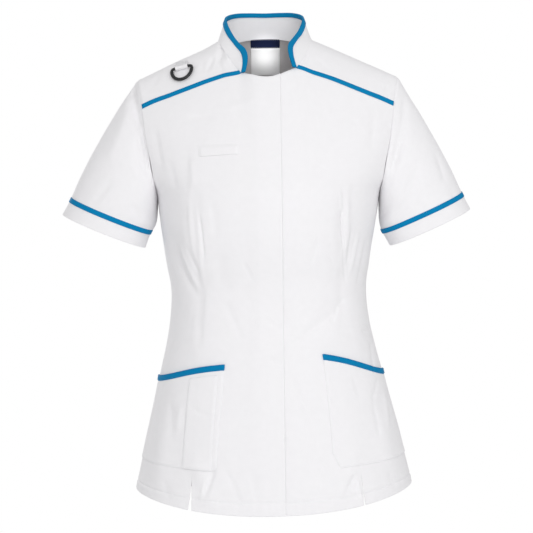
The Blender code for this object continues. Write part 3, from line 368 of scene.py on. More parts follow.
def settle(points):
    """Sways the garment to one side and tilts the neck and the hem, as they hang."""
    x, y, z = np.moveaxis(points, -1, 0)
    out = np.abs(x)
    at_side, at_neck, by_collar, over_yoke, at_middle = (step_up(out, *reach) for reach in SETTLE_ACROSS)
    neck_up, front_up, hem_down = (step_up(z, *reach) for reach in SETTLE_UP)
    sway = at_side * column(SWAY, z, 1) - NECK_SWAY * at_neck * neck_up
    tilt = (1 - YOKE_SHARE) * by_collar + YOKE_SHARE * over_yoke
    front_neck = step_up(y, *SETTLE_FORWARD) * front_up
    lift = HEM_TILT * x * hem_down + front_neck * (NECK_TILT * x * tilt + NECK_LIFT * at_middle)
    return np.stack((x + sway, y, z + lift), axis=-1)


print("a side point moves by", settle(np.array((0.15, 0.0, -0.4))) - (0.15, 0.0, -0.4))

# %% [markdown]
# Each panel is drawn as a coarse net first, a few centimetres between its threads. Features such
# as a pocket's edge or the top of a vent lie on a row or a column of the net, so the sewing can
# be told to follow them.

# %% Columns and rows of the nets
# Columns of a front's grid: angle round the body at the hem, waist and underarm, in degrees.
# The wrap's three columns, at -WRAP, 0 and WRAP, come before these.
FRONT_COLUMNS = (
    # hem, waist, underarm
    (6.5, 8.0, 7.2),
    (12.0, 13.0, 14.0),
    (22.8, 22.5, 22.0),
    (25.6, 26.0, 25.0),
    (30.0, 31.5, 29.5),
    (34.5, 37.3, 34.3),
    (36.0, 39.0, 37.5),
    (37.5, 40.7, 40.5),
    (41.5, 44.8, 45.5),
    (50.0, 53.0, 53.0),
    (58.0, 60.0, 60.0),
    (66.0, 67.0, 67.0),
    *((angle, angle, angle) for angle in (74.0, 82.0, 90.0)),
)
YOKE_COLUMN = 4  # the column that ends at the collar, counted from the wrap's edge
POCKET_COLUMN = 5
POCKET_SINE = 0.3875  # sine of that column's angle
PEN_COLUMNS = (6, 11)
VENT_COLUMN = 9
WELT_COLUMNS = (4, 8)
BACK_COLUMNS = (90, 96, 102, 108, 114, 120, 126, 132, 138, 143, 148, 152, 155, 158, 164, 169, 174.5, 180)
# Rows below the underarm: height at the centre front, at the pocket's inner edge, at the side
# and at the centre back. The hem's row comes before these.
ROWS = (
    # centre, pocket edge, side, back
    (-0.686, -0.684, -0.668, -0.688),
    (-0.660, -0.658, -0.649, -0.664),
    (-0.653, -0.651, -0.642, -0.655),
    (-0.620, -0.619, -0.616, -0.622),
    (-0.586, -0.585, -0.589, -0.590),
    (-0.545, -0.544, -0.557, -0.553),
    (-0.500, -0.500, -0.523, -0.513),
    (-0.493, -0.493, -0.518, -0.507),
    (-0.485, -0.485, -0.510, -0.498),
    (-0.456, -0.456, -0.470, -0.466),
    (-0.428, -0.428, -0.434, -0.434),
    # level all round from the waist up
    *((z, z, z, z) for z in (-0.402, -0.376, -0.350, -0.322, -0.294, -0.267, -0.240)),
)
VENT_ROW = 2  # the row at the vent's top, counted from the hem
POCKET_ROWS = (3, 8, 9)  # the pocket's bottom, the lower and the upper edge of its piping
PEN_TOP_ROW = 7
# Rows of a front above the underarm, below the yoke seam: height at the centre and at the armhole
UPPER_ROWS = (
    (-0.214, -0.219),
    (-0.187, -0.192),
    (-0.172, -0.178),
    (-0.145, -0.163),
    (-0.118, -0.144),
    (-0.092, -0.125),
)
WELT_ROWS = (2, 3)  # counted from the underarm
YOKE_RISE = (0.0, 0.15, 0.3, 0.45, 0.6, 0.73, 0.86, 1.0)
BACK_RISE = (0.0, 0.13, 0.27, 0.41, 0.55, 0.68, 0.79, 0.90, 1.0)
# What differs between the two sides: the vent's opening at the hem, how far in degrees it is
# turned towards the centre there, how far the pocket's inner edge is turned outward at the waist,
# and how much lower the pocket's mouth lies, at its inner end and at the side
VENT_OPENING = {-1: 0.006, 1: 0.003}
VENT_TURN = {-1: 3.0, 1: 0.0}
POCKET_TURN = {-1: 0.0, 1: 2.4}
MOUTH_DROP = {-1: (0.0105, 0.0065), 1: (-0.0040, 0.0010)}
MOUTH_LEVELS = (6, 11)  # the rows that the drop moves, counted from the hem
MOUTH_EASE = 0.6  # how much of it the first and the last of them get
TURN_REACH = (16, 4)  # how many degrees away the turns fade out, and act in full
print("columns", len(FRONT_COLUMNS) + 3, "on a front,", 2 * len(BACK_COLUMNS) - 1, "on the back")

# %% [markdown]
# A column gives its angle round the body at every height, and a row its height at every angle.
# Three rounds of asking one and then the other find the point where they cross.

# %% Stations round the body
def row_height(level, angle, hand):
    """Height of one of ROWS at an angle round the body."""
    centre, pocket, side, back = ROWS[level - 1]
    if MOUTH_LEVELS[0] <= level <= MOUTH_LEVELS[1]:
        ease = MOUTH_EASE if level in MOUTH_LEVELS else 1
        inner_drop, side_drop = MOUTH_DROP[hand]
        centre -= inner_drop * ease
        pocket -= inner_drop * ease
        side -= side_drop * ease
    if angle > 90:
        return smooth_between(angle, (90, 180), (side, back))
    return smooth_between(math.sin(math.radians(abs(angle))), (0, POCKET_SINE, 1), (centre, pocket, side))


def hem_height(angle):
    return HEM_SIDE_Z - HEM_DROP * math.cos(math.radians(angle)) ** 2


def column_angle(entry, z, side):
    hem, waist, underarm = entry
    vent = FRONT_COLUMNS[VENT_COLUMN - 3][0]
    edge = FRONT_COLUMNS[POCKET_COLUMN - 3][1]
    hem -= VENT_TURN[side] * step_up(abs(hem - vent), *TURN_REACH)
    waist += POCKET_TURN[side] * step_up(abs(waist - edge), *TURN_REACH)
    return smooth_between(z, (-0.70, -0.40, UNDERARM_Z), (hem, waist, underarm))


def body_station(angle_at, level, side=1):
    """A point and its normal below the underarm; angle_at gives the column's angle by height."""
    z = -0.45
    for _ in range(3):
        z = hem_height(angle_at(z)) if level == 0 else row_height(level, angle_at(z), side)
    angle = angle_at(z)
    return body_point(angle, z), body_normal(angle, z)


def front_angles(side):
    """The columns of a front: for each, its angle by height."""
    wrap = [lambda z, x=x: body_angle(x, z) for x in (-WRAP, 0.0, WRAP)]
    return wrap + [lambda z, entry=entry: column_angle(entry, z, side) for entry in FRONT_COLUMNS]


print("hem at the centre front", round(hem_height(0), 3), "and at the side", round(hem_height(90), 3))

# %% [markdown]
# Above the underarm a grid is filled in from its four border lines. Each point inside is a blend
# of the two pairs of borders, less what the corners would otherwise give twice.

# %% Grids of the panels
def blend_patch(bottom, top, left, right, across, rise):
    """A grid of (x, place) between four border lines that meet at their corners."""
    rows = []
    for j, v in enumerate(rise):
        row = []
        for i, c in enumerate(across):
            sides = (1 - c) * left[j] + c * right[j]
            ends = (1 - v) * bottom[i] + v * top[i]
            low = (1 - c) * bottom[0] + c * bottom[-1]
            high = (1 - c) * top[0] + c * top[-1]
            row.append(sides + ends - (1 - v) * low - v * high)
        rows.append(row)
    return rows


def patch_skin(bottom, top, left, right, rise):
    bottom, top, left, right = (np.array(line) for line in (bottom, top, left, right))
    across = (bottom[:, 0] - bottom[0, 0]) / (bottom[-1, 0] - bottom[0, 0])
    grid = blend_patch(bottom, top, left, right, across, rise)
    return [[(shoulder_point(*spot), shoulder_normal(*spot)) for spot in row] for row in grid]


def front_rows(side):
    """The grid of a front panel, drawn on the wearer's left, from the hem to the yoke seam."""
    angles = front_angles(side)
    rows = [[body_station(at, level, side) for at in angles] for level in range(len(ROWS) + 1)]
    bottom = [(p[0], 0.0) for p, n in rows[-1]]
    end = seam_end()
    top = []
    for k, (x, _) in enumerate(bottom):
        if k <= YOKE_COLUMN:
            x = x * COLLAR_END_X / bottom[YOKE_COLUMN][0] if k == YOKE_COLUMN else x
            top.append(neck_station(neck_angle(x)))
        else:
            share = (x - bottom[YOKE_COLUMN][0]) / (SIDE_WIDTH - bottom[YOKE_COLUMN][0])
            x = COLLAR_END_X + share * (end - COLLAR_END_X)
            top.append((x, seam_place(x)))
    left, right = [bottom[0]], [bottom[-1]]
    edge = bottom[0][0]
    for centre, armhole in UPPER_ROWS:
        left.append((edge, solve(lambda place: shoulder_point(edge, place)[2] - centre, 0, 1)))
        place = solve(lambda place: shoulder_point(armhole_x(place), place)[2] - armhole, 0, 1)
        right.append((armhole_x(place), place))
    left.append(top[0])
    right.append(top[-1])
    rise = [place / left[-1][1] for x, place in left]
    upper = patch_skin(bottom, top, left, right, rise)
    return rows + upper[1:], top


def yoke_rows(seam):
    """The grid of a yoke on the wearer's left, from its chest seam to the shoulder seam."""
    bottom = seam[YOKE_COLUMN:]
    first, last = COLLAR_END, neck_meets_shoulder()
    left = [neck_station(first + v * (last - first)) for v in YOKE_RISE]
    start = bottom[-1][1]
    places = [start + v * (SHOULDER_SEAM - start) for v in YOKE_RISE]
    right = [(armhole_x(place), place) for place in places]
    shares = [(x - bottom[0][0]) / (bottom[-1][0] - bottom[0][0]) for x, _ in bottom]
    top = [(left[-1][0] + s * (right[-1][0] - left[-1][0]), SHOULDER_SEAM) for s in shares]
    left[0], right[0] = bottom[0], bottom[-1]
    return patch_skin(bottom, top, left, right, YOKE_RISE), top


def back_rows(shoulder):
    """Half of the back, on the wearer's left: columns from the side to the centre."""
    rows = []
    for level in range(len(ROWS) + 1):
        rows.append([body_station(lambda z, angle=angle: angle, level) for angle in BACK_COLUMNS])
    bottom = [(p[0], 2.0) for p, n in rows[-1]]
    # the shoulder seam keeps the yoke's own columns, so that both edges are one line
    top = [(x, SHOULDER_SEAM) for x, _ in reversed(shoulder)]
    first = neck_meets_shoulder()
    steps = len(bottom) - len(top)
    top += [neck_station(first + (180 - first) * k / steps) for k in range(1, steps + 1)]
    places = [2 + v * (SHOULDER_SEAM - 2) for v in BACK_RISE]
    left = [(armhole_x(place), place) for place in places]
    right = [(0.0, 2 + v * (top[-1][1] - 2)) for v in BACK_RISE]
    left[0], left[-1] = bottom[0], top[0]
    return rows + patch_skin(bottom, top, left, right, BACK_RISE)[1:]


NET_FRONT = {side: front_rows(side) for side in (-1, 1)}
NET_YOKE, NET_SHOULDER = yoke_rows(NET_FRONT[1][1])
NET_BACK = back_rows(NET_SHOULDER)
BELOW = len(ROWS)
print("front net", len(NET_FRONT[1][0]), "rows by", len(NET_FRONT[1][0][0]), "columns")

# %% [markdown]
# Where a sleeve meets the body, or the collar the neck, the two cloths meet at an angle. As at
# the corner of a picture frame, both walls are cut along the half angle there.

# %% Seams at an angle
def mitre(normal, second_normal, tangent, first_way, second_way):
    """The way through the cloth that both pieces of a seam share, and the way across the seam."""
    along = unit(tangent)
    first = unit(first_way - normal * float(first_way @ normal))
    first = unit(first - along * float(first @ along))
    second = unit(second_way - along * float(second_way @ along))
    across = unit(second - first)
    inward = unit(np.cross(along, across))
    if float(inward @ (normal + second_normal)) > 0:
        inward = -inward
    return inward / max(abs(float(inward @ normal)), 0.5), across


def armhole_ring(front, yoke, back):
    """The armhole's points and normals, once round from the underarm, up the front."""
    count = len(ROWS)
    ring = [row[-1] for row in front[count:]]
    ring += [row[-1] for row in yoke[1:]]
    ring += [row[0] for row in reversed(back[count + 1 : -1])]
    return ring


RING_LINE = armhole_ring(NET_FRONT[1][0], NET_YOKE, NET_BACK)
print("the armhole has", len(RING_LINE), "points")

# %% [markdown]
# A sleeve's net runs from the armhole to the edge of its cuff, and the seam above the cuff is one
# of its rows. In between the sleeve bulges a little and takes its large folds.

# %% The sleeves' nets
SLEEVE_RISE = (0.0, 0.07, 0.18, 0.32, 0.46, 0.60, 0.74, 0.88, 1.0)
# The two cuffs: the wearer's right (-X) sleeve lies a little further out
# inner end x and z, outer end x and z, half depth, how far the front edge sags
CUFFS = {
    -1: (0.1905, -0.318, 0.3205, -0.264, 0.053, 0.004),
    1: (0.1905, -0.319, 0.3145, -0.263, 0.053, 0.004),
}
SLEEVE_BULGE = {-1: 0.007, 1: 0.0045}
SLEEVE_FLARE = {-1: 0.0025, 1: 0.0070}  # how much wider towards the body the cuff's seam is


def cuff_frame(side):
    """The cuff's centre, the way from its inner to its outer end, and half its width."""
    x0, z0, x1, z1, _, _ = CUFFS[side]
    inner, outer = np.array((x0, 0.0, z0)), np.array((x1, 0.0, z1))
    wide = unit(outer - inner)
    return (inner + outer) / 2, wide, np.linalg.norm(outer - inner) / 2


def sleeve_grid(ring, side):
    """Points of a sleeve and its cuff, on the wearer's left: rows down from the armhole."""
    centre, wide, half = cuff_frame(side)
    down = np.array((wide[2], 0.0, -wide[0]))
    depth, sag = CUFFS[side][4:]
    start = np.array([p for p, n in ring])
    steps = np.linalg.norm(np.diff(start, axis=0, append=start[:1]), axis=1)
    length = np.concatenate(((0,), np.cumsum(steps)))
    tip = int(np.argmax(start[:, 2]))
    grid, turns = [], []
    for k, point in enumerate(start):
        if k <= tip:
            turn = math.pi * length[k] / length[tip]
        else:
            turn = math.pi * (1 + (length[k] - length[tip]) / (length[-1] - length[tip]))
        end = centre - wide * half * math.cos(turn)
        end = end + np.array((0, -depth * math.sin(turn), 0)) + down * sag * math.sin(turn)
        span = end - point
        seam = 1 - CUFF_HEIGHT / np.linalg.norm(span)
        turns.append(turn)
        shares = [share * seam for share in SLEEVE_RISE] + [(1 + seam) / 2, 1.0]
        grid.append([point + span * t for t in shares])
    grid = np.array(grid).transpose(1, 0, 2)
    hub = grid.mean(axis=1)
    for j, share in enumerate(SLEEVE_RISE):
        out = grid[j] - hub[j]
        out /= np.linalg.norm(out, axis=1)[:, None]
        ends = math.sin(math.pi * share) ** 0.8
        folds = np.array([sleeve_fold(turn, share) for turn in turns]) * min(ends * 2, 1)
        grid[j] += out * (SLEEVE_BULGE[side] * ends + folds)[:, None]
    inner = np.maximum(np.cos(turns), 0)[:, None] ** 2
    for j, share in enumerate(SLEEVE_RISE + (0.5, 0.0)):
        grid[j] -= wide * inner * SLEEVE_FLARE[side] * share
    return grid


def tube_normals(grid):
    """Outward normals of a grid whose rows are closed rings."""
    around = np.roll(grid, -1, axis=1) - np.roll(grid, 1, axis=1)
    along = np.gradient(grid, axis=0)
    normals = np.cross(around, along)
    normals /= np.linalg.norm(normals, axis=2)[:, :, None]
    hub = grid.mean(axis=1)[:, None, :]
    if float(((grid - hub) * normals).sum()) < 0:
        normals = -normals
    return normals


print("a sleeve has", len(SLEEVE_RISE), "rows down to its cuff's seam and two below")

# %% [markdown]
# Each point of the armhole and of the neck seam gets its own mitre, from the cloth on both sides
# of it. The collar's stations lie where the yokes' rows and the back's columns meet the neck.

# %% Mitres of the armhole and the neck
def armhole_mitres(ring, grid, normals):
    """For each point of the armhole: the shared way through the cloth and the way across."""
    joints = []
    below = np.array((0.0, 0.0, UNDERARM_Z - 0.06))
    for k, (point, normal) in enumerate(ring):
        tangent = ring[(k + 1) % len(ring)][0] - ring[k - 1][0]
        joints.append(mitre(normal, normals[0, k], tangent, below - point, grid[1, k] - point))
    return joints


def collar_stations(back_steps):
    """Angles of the collar's stations from its front end to the centre back."""
    last = neck_meets_shoulder()
    angles = [COLLAR_END + v * (last - COLLAR_END) for v in YOKE_RISE]
    return angles + [last + (180 - last) * k / back_steps for k in range(1, back_steps + 1)]


def collar_top(angle):
    return np.array([column(COLLAR_TOP, angle, k) for k in (1, 2, 3)])


def collar_outward(angle):
    """Level, away from the neck's middle."""
    x, place = neck_station(angle)
    point = shoulder_point(x, place)
    return unit(np.array((point[0], point[1] - NECK_Y, 0.0)))


def neck_mitres(angles):
    joints = []
    for k, angle in enumerate(angles):
        here = shoulder_point(*neck_station(angle))
        ahead = shoulder_point(*neck_station(min(angle + 1, 180)))
        behind = shoulder_point(*neck_station(angle - 1))
        out = collar_outward(angle)
        normal = shoulder_normal(*neck_station(angle))
        joints.append(mitre(normal, out, ahead - behind, out, collar_top(angle) - here))
    return joints


COLLAR_STATIONS = collar_stations(len(BACK_COLUMNS) - len(NET_SHOULDER))
NECK_JOINTS = neck_mitres(COLLAR_STATIONS)
print("the neck has", len(COLLAR_STATIONS), "stations a side")

# %% [markdown]
# The large folds stand in the solids too, so they repeat here as the same rows: each one is a
# soft trough or ridge along a line. The main ones hang from the bust, pull in at the waist and
# fan out over the vents.

# %% The large folds
# The largest folds of the body, as soft troughs (depth under 0) and ridges, each along a line
# on the front (face -1) or the back (face 1), seen from the front
# face, start x and z, end x and z, half width, depth
FOLDS = (
    (-1, -0.110, -0.235, -0.103, -0.330, 0.007, -0.0022),
    (-1, -0.103, -0.330, -0.107, -0.470, 0.007, -0.0012),
    (-1, 0.110, -0.235, 0.108, -0.330, 0.007, -0.0024),
    (-1, 0.108, -0.330, 0.110, -0.450, 0.007, -0.0012),
    (-1, -0.122, -0.265, -0.115, -0.365, 0.012, 0.0024),
    (-1, -0.150, -0.300, -0.112, -0.385, 0.013, -0.0030),
    (-1, 0.140, -0.300, 0.114, -0.375, 0.013, -0.0026),
    (-1, 0.112, -0.400, 0.040, -0.470, 0.016, -0.0022),
    (-1, -0.160, -0.580, -0.175, -0.670, 0.014, 0.0030),
    (-1, 0.160, -0.580, 0.178, -0.665, 0.014, 0.0030),
    (-1, -0.120, -0.630, -0.092, -0.700, 0.012, 0.0026),
    (-1, 0.122, -0.630, 0.096, -0.700, 0.012, 0.0026),
    (1, -0.070, -0.330, -0.055, -0.470, 0.014, -0.0030),
    (1, 0.072, -0.320, 0.052, -0.480, 0.014, -0.0030),
    (1, -0.110, -0.560, -0.135, -0.690, 0.018, 0.0035),
    (1, 0.105, -0.570, 0.130, -0.690, 0.018, 0.0035),
    (1, 0.000, -0.580, 0.006, -0.700, 0.020, 0.0030),
)
# The same on the sleeves. Turn is 0 at the underarm, 90 at the front and 180 at the outer edge.
# start turn and share of the way down, end turn and share, half width in metres, depth
SLEEVE_FOLDS = (
    (45, 0.26, 128, 0.10, 0.013, -0.0042),
    (22, 0.30, 62, 0.82, 0.013, -0.0030),
    (318, 0.22, 232, 0.14, 0.014, -0.0038),
    (335, 0.34, 292, 0.80, 0.014, -0.0030),
)
TURN_LENGTH = 0.0012  # metres round the sleeve for one degree
SLEEVE_LENGTH = 0.235
TAPER_START, TAPER_SPAN = 0.12, 0.76  # the part of half a wave that a fold's depth runs through
FOLD_TURNED = (0.15, 0.6)  # how far the cloth faces forward or back where folds start, and are in full


def ridge(u, v, start, end, width, depth):
    """The height of one fold, along the line from start to end, at places near it."""
    along_u, along_v = end[0] - start[0], end[1] - start[1]
    t = ((u - start[0]) * along_u + (v - start[1]) * along_v) / (along_u**2 + along_v**2)
    held = np.clip(t, 0, 1)
    away = np.hypot(u - start[0] - held * along_u, v - start[1] - held * along_v) / width
    taper = np.sin(math.pi * np.clip(TAPER_START + TAPER_SPAN * t, 0, 1))
    return depth * taper * np.exp(-away * away)


def fold_height(points, normals):
    """How far the large folds raise points of the body."""
    x, y, z = np.moveaxis(points, -1, 0)
    height = np.zeros(x.shape)
    for face, x0, z0, x1, z1, width, depth in FOLDS:
        height += (face * y > 0) * ridge(x, z, (x0, z0), (x1, z1), width, depth)
    return height * step_up(np.abs(normals[..., 1]), *FOLD_TURNED)


def sleeve_fold(turn, share):
    """The same on a sleeve, at a turn round it and a share of the way down."""
    u, v = math.degrees(turn) * TURN_LENGTH, share * SLEEVE_LENGTH
    rows = [
        ridge(u, v, (a * TURN_LENGTH, b * SLEEVE_LENGTH), (c * TURN_LENGTH, d * SLEEVE_LENGTH), w, h)
        for a, b, c, d, w, h in SLEEVE_FOLDS
    ]
    return float(sum(rows))


TUBES = {side: sleeve_grid(RING_LINE, side) for side in (-1, 1)}
TUBE_OUT = {side: tube_normals(TUBES[side]) for side in (-1, 1)}
ARM_JOINTS = {side: armhole_mitres(RING_LINE, TUBES[side], TUBE_OUT[side]) for side in (-1, 1)}
print("folds", len(FOLDS), "and", len(SLEEVE_FOLDS), "on each sleeve")

# %% [markdown]
# Between the large folds the cloth carries finer creases, where it is pulled by the darts, the
# bust, the waist and the seams. Each row gives one crease as a bent line with its own length and
# depth, steeper on one side than on the other, as poplin breaks. The back and the far sides of
# the sleeves have creases like those that show.

# %% The finer creases
# For the body ("b") or the sleeves ("s"), and the front (-1) or the back (1), in millimetres: start
# x and z, end x and z, bend to the left of the way, half widths left and right of it, height (under
# 0 for a trough)
CREASES = {
    ("b", -1): (
        (-122, -171, -122, -249, 0, 6, 14, -1.8),
        (-122, -240, -103, -375, -5, 4, 12, -2.3),
        (-110, -241, -99, -381, 2.2, 3.5, 4, 1.5),
        (-102, -271, -95, -339, 0.4, 1.5, 2, -1.5),
        (-86, -248, -79, -313, 0, 7, 4, -1.1),
        (-99, -378, -106, -471, 0, 4, 9, -0.7),
        (-135, -311, -104, -387, -1, 3, 4, 1.9),
        (-123, -313, -102, -364, 0, 3, 3, -1.2),
        (-135, -342, -107, -396, -1, 3, 5, -1.4),
        (-151, -185, -137, -237, 1, 4, 5, -0.9),
        (-117, -190, -110, -229, 0, 4, 3, 0.7),
        (-79, -319, -71, -399, 2, 13, 9, -1.4),
        (-43, -340, -26, -374, 0, 2.4, 3, -0.8),
        (-10, -484, 18, -498, 0, 2.5, 2.5, -1.1),
        (-122, -125, -82, -124, 1, 5, 5, -0.9),
        (-47, -151, -28, -153, 0, 2.4, 2.4, -0.7),
        (-70, -115, -11, -101, 2, 8, 6, 0.9),
        (-172, -135, -159, -208, -1, 5, 6, -1.6),
        (-153, -544, -152, -611, 2, 4, 5, -1.1),
        (-137, -554, -142, -598, 0, 4, 5, 1.4),
        (-175, -543, -181, -619, 1, 4, 4, -0.9),
        (-123, -558, -83, -573, -2, 2.6, 2.6, -1.2),
        (-87, -637, -105, -691, 2, 3.5, 6, -3),
        (-98, -655, -111, -696, 0, 3, 3, 1.4),
        (-75, -641, -46, -706, 3, 3, 8, -1.4),
        (-32, -649, -24, -704, 0, 8, 6, -0.9),
        (-165, -664, -155, -698, 0, 3, 4, -1.1),
        (-73, -399, -43, -466, 3, 5, 7, -1.1),
        (-15, -426, 15, -445, 1, 3, 4, -0.7),
        (-110, -399, -124, -456, 0, 5, 4, -0.5),
        (-123, -174, -104, -384, -5, 28, 15, 3),
        (-104, -384, -110, -506, 0, 28, 15, 2.4),
        (106, -235, 110, -276, 0, 3, 3, 1.4),
        (109, -264, 114, -333, 0.3, 1.7, 1.7, -4.1),
        (113, -324, 117, -378, 0, 1.5, 1.6, -1.5),
        (118, -243, 122, -330, 0, 5, 3, 1.4),
        (126, -225, 125, -348, -1, 14, 5, -1.6),
        (139, -297, 122, -369, 1, 3, 3, 1.8),
        (127, -291, 118, -355, 1, 2.4, 2, -1.5),
        (151, -305, 133, -384, 2, 4, 3, -1.5),
        (73, -306, 58, -349, 1.5, 3, 3, -1.1),
        (86, -116, 82, -153, 1, 5, 5, -0.8),
        (46, -120, 45, -140, 0, 3, 3, -0.5),
        (66, -198, 93, -211, 0, 3, 3, -0.8),
        (133, -128, 123, -141, 0, 3, 4, -0.7),
        (164, -115, 155, -176, -1, 4, 5, -1.1),
        (119, -395, 68, -443, 1.5, 3, 4, -0.9),
        (79, -431, 23, -473, -1.5, 3, 5, -1.4),
        (104, -411, 87, -440, 1, 2.2, 2.6, -0.9),
        (138, -450, 155, -444, 0, 1.5, 1.5, -2.4),
        (135, -441, 154, -436, 0, 1.8, 1.6, -1.1),
        (141, -457, 158, -455, 0, 1.8, 1.6, -1.1),
        (155, -459, 156, -516, -1, 2.5, 3, -1.6),
        (163, -520, 150, -560, -1, 3, 3, -1.4),
        (151, -557, 158, -614, 1, 3, 3, -1.4),
        (170, -539, 173, -604, 1, 3, 4, 1.6),
        (181, -546, 197, -625, 1, 3, 3, -1.6),
        (193, -590, 200, -638, 0, 2.4, 2.6, -1.2),
        (118, -511, 133, -564, 2, 10, 3, -0.9),
        (34, -541, 53, -572, 0, 2.6, 2.8, 1.1),
        (27, -515, 41, -548, 0, 4, 3, -0.7),
        (122, -660, 104, -694, -1, 3, 4, -2.6),
        (123, -666, 131, -702, 0, 3, 3, 1.6),
        (70, -637, 84, -670, 1, 4, 4, -1.1),
        (63, -671, 73, -695, 0, 3, 3, -0.8),
        (45, -592, 56, -651, 3, 8, 6, -0.9),
        (17, -597, 19, -618, 0, 2.5, 2.5, -1.6),
        (172, -660, 181, -688, 0, 3, 3, -1.1),
        (91, -334, 100, -365, 0, 3, 4, -0.8),
        (-66, -4, -77, -40, 1, 5, 4, -3.1),
        (-59, -11, -61, -40, 0, 3, 3, 1.8),
        (-81, -26, -94, -52, 0, 3, 3, -1.9),
        (-77, -33, -69, -55, 0, 3, 3, -1.8),
        (-96, -32, -102, -53, 0, 2.5, 3, -0.9),
        (-166, -50, -180, -77, 1, 4, 4, -0.8),
        (56, -16, 58, -50, 1, 4, 3, -1.1),
        (72, -35, 94, -57, 1, 4, 4, -0.8),
        (191, -58, 178, -86, 0, 4, 4, -0.9),
    ),
    ("s", -1): (
        (-220, -45, -194, -149, 0, 10, 6, -8.4),
        (-194, -131, -181, -210, 0, 5, 4, -6.8),
        (-208, -94, -246, -194, 0, 9, 11, 2.5),
        (-238, -212, -269, -255, 1, 5, 6, -1.3),
        (211, -87, 202, -163, 1, 5, 5, -2.8),
        (202, -157, 188, -208, 0, 4, 4, -2.3),
        (256, -176, 272, -228, 1, 4, 5, -1.9),
        (228, -191, 207, -260, 2, 7, 6, -1.3),
        (280, -237, 294, -261, 0, 4, 4, -1.1),
    ),
    ("b", 1): (
        (-78, -235, -70, -350, 1, 2.2, 1.6, -1.9),
        (76, -230, 71, -360, -1, 1.6, 2.2, -2.1),
        (-70, -350, -74, -520, 0, 2.2, 1.6, -1.8),
        (71, -360, 75, -530, 0, 1.6, 2.2, -1.8),
        (-150, -330, -85, -395, 4, 3, 5, -2.9),
        (-145, -375, -80, -420, 3, 4, 3, 1.9),
        (148, -345, 92, -400, -3, 5, 3, -2.7),
        (140, -400, 85, -430, -2, 3, 4, 1.8),
        (-60, -400, 10, -425, 2, 4, 6, -1.8),
        (58, -410, 0, -445, -3, 6, 4, -1.6),
        (-130, -150, -105, -225, 4, 6, 9, -2.7),
        (135, -155, 110, -235, -4, 9, 6, -2.7),
        (-60, -110, -20, -150, 3, 7, 6, -1.5),
        (50, -120, 15, -165, -2, 6, 7, -1.4),
        (-35, -250, -30, -330, 2, 8, 10, -1.4),
        (30, -500, 45, -640, 4, 8, 6, -2.1),
        (-20, -520, -35, -650, -3, 6, 9, -1.9),
        (-150, -540, -170, -660, 3, 5, 6, -2.3),
        (155, -550, 172, -655, -3, 6, 5, -2.1),
        (85, -640, 92, -700, 0, 5, 4, -1.5),
        (-80, -635, -88, -700, 1, 4, 5, -1.5),
    ),
    ("s", 1): (
        (-205, -85, -186, -150, 2, 6, 5, -2.6),
        (-184, -150, -176, -215, 0, 4, 3.5, -1.8),
        (-245, -170, -270, -230, 2, 7, 8, -1),
        (207, -90, 190, -155, -2, 5, 6, -2.2),
        (186, -150, 179, -220, 0, 3.5, 4, -1.6),
        (240, -160, 262, -225, -2, 8, 7, -1),
    ),
}
print("finer creases", sum(len(rows) for rows in CREASES.values()))

# %% [markdown]
# A crease is worked out in its own two directions, along it and aside from it. Slow waves over
# the whole cloth keep it from lying quite even between the creases.

# %% How creases raise the cloth
CREASE_END = 0.006  # how far a crease runs out past its ends
CREASE_IN, CREASE_OUT = (-0.05, 0.3), (1.05, 0.7)  # over which shares of its length it deepens and fades
TURNED = (0.05, 0.45)  # how much the cloth faces forward or back where creases start, and are in full
# Slow waves over the whole cloth: radians a metre along x, z and y, and height
UNEVEN = ((61, 23, 17, 0.00018), (-37, 71, 29, 0.00016), (113, -59, 41, 0.00008), (29, 149, -83, 0.00006))


def fine_height(points, normals, group):
    """How far the finer creases raise points of the body or of the sleeves."""
    x, y, z = np.moveaxis(points, -1, 0)
    height = np.zeros(x.shape)
    rows = [(face, row) for face in (-1, 1) for row in CREASES.get((group, face), ())]
    for face, row in rows:
        x0, z0, x1, z1, bend, left, right, depth = np.array(row) / 1000
        length = math.hypot(x1 - x0, z1 - z0)
        way_x, way_z = (x1 - x0) / length, (z1 - z0) / length
        t = ((x - x0) * way_x + (z - z0) * way_z) / length
        held = np.clip(t, 0, 1)
        aside = (z - z0) * way_x - (x - x0) * way_z - 4 * bend * held * (1 - held)
        beyond = np.maximum(np.abs(t - 0.5) - 0.5, 0) * length
        away = (aside / np.where(aside > 0, left, right)) ** 2 + (beyond / CREASE_END) ** 2
        taper = step_up(t, *CREASE_IN) * step_up(t, *CREASE_OUT)
        height += (face * y > 0) * depth * taper * np.exp(-away)
    height *= step_up(np.abs(normals[..., 1]), *TURNED)
    # cloth is never quite even between its creases
    for a, b, c, size in UNEVEN:
        height += size * np.sin(a * x + b * z + c * y + a)
    return height


def relief(points, normals, group):
    """How far all folds and creases raise points of one group."""
    rise = fine_height(points, normals, group)
    return rise + fold_height(points, normals) if group == "b" else rise


print("slow waves", len(UNEVEN))

# %% [markdown]
# A spline through the coarse net gives the cloth its fine one. The weights of each new row and
# column are worked out once as a matrix, and one product then places some ten thousand points.

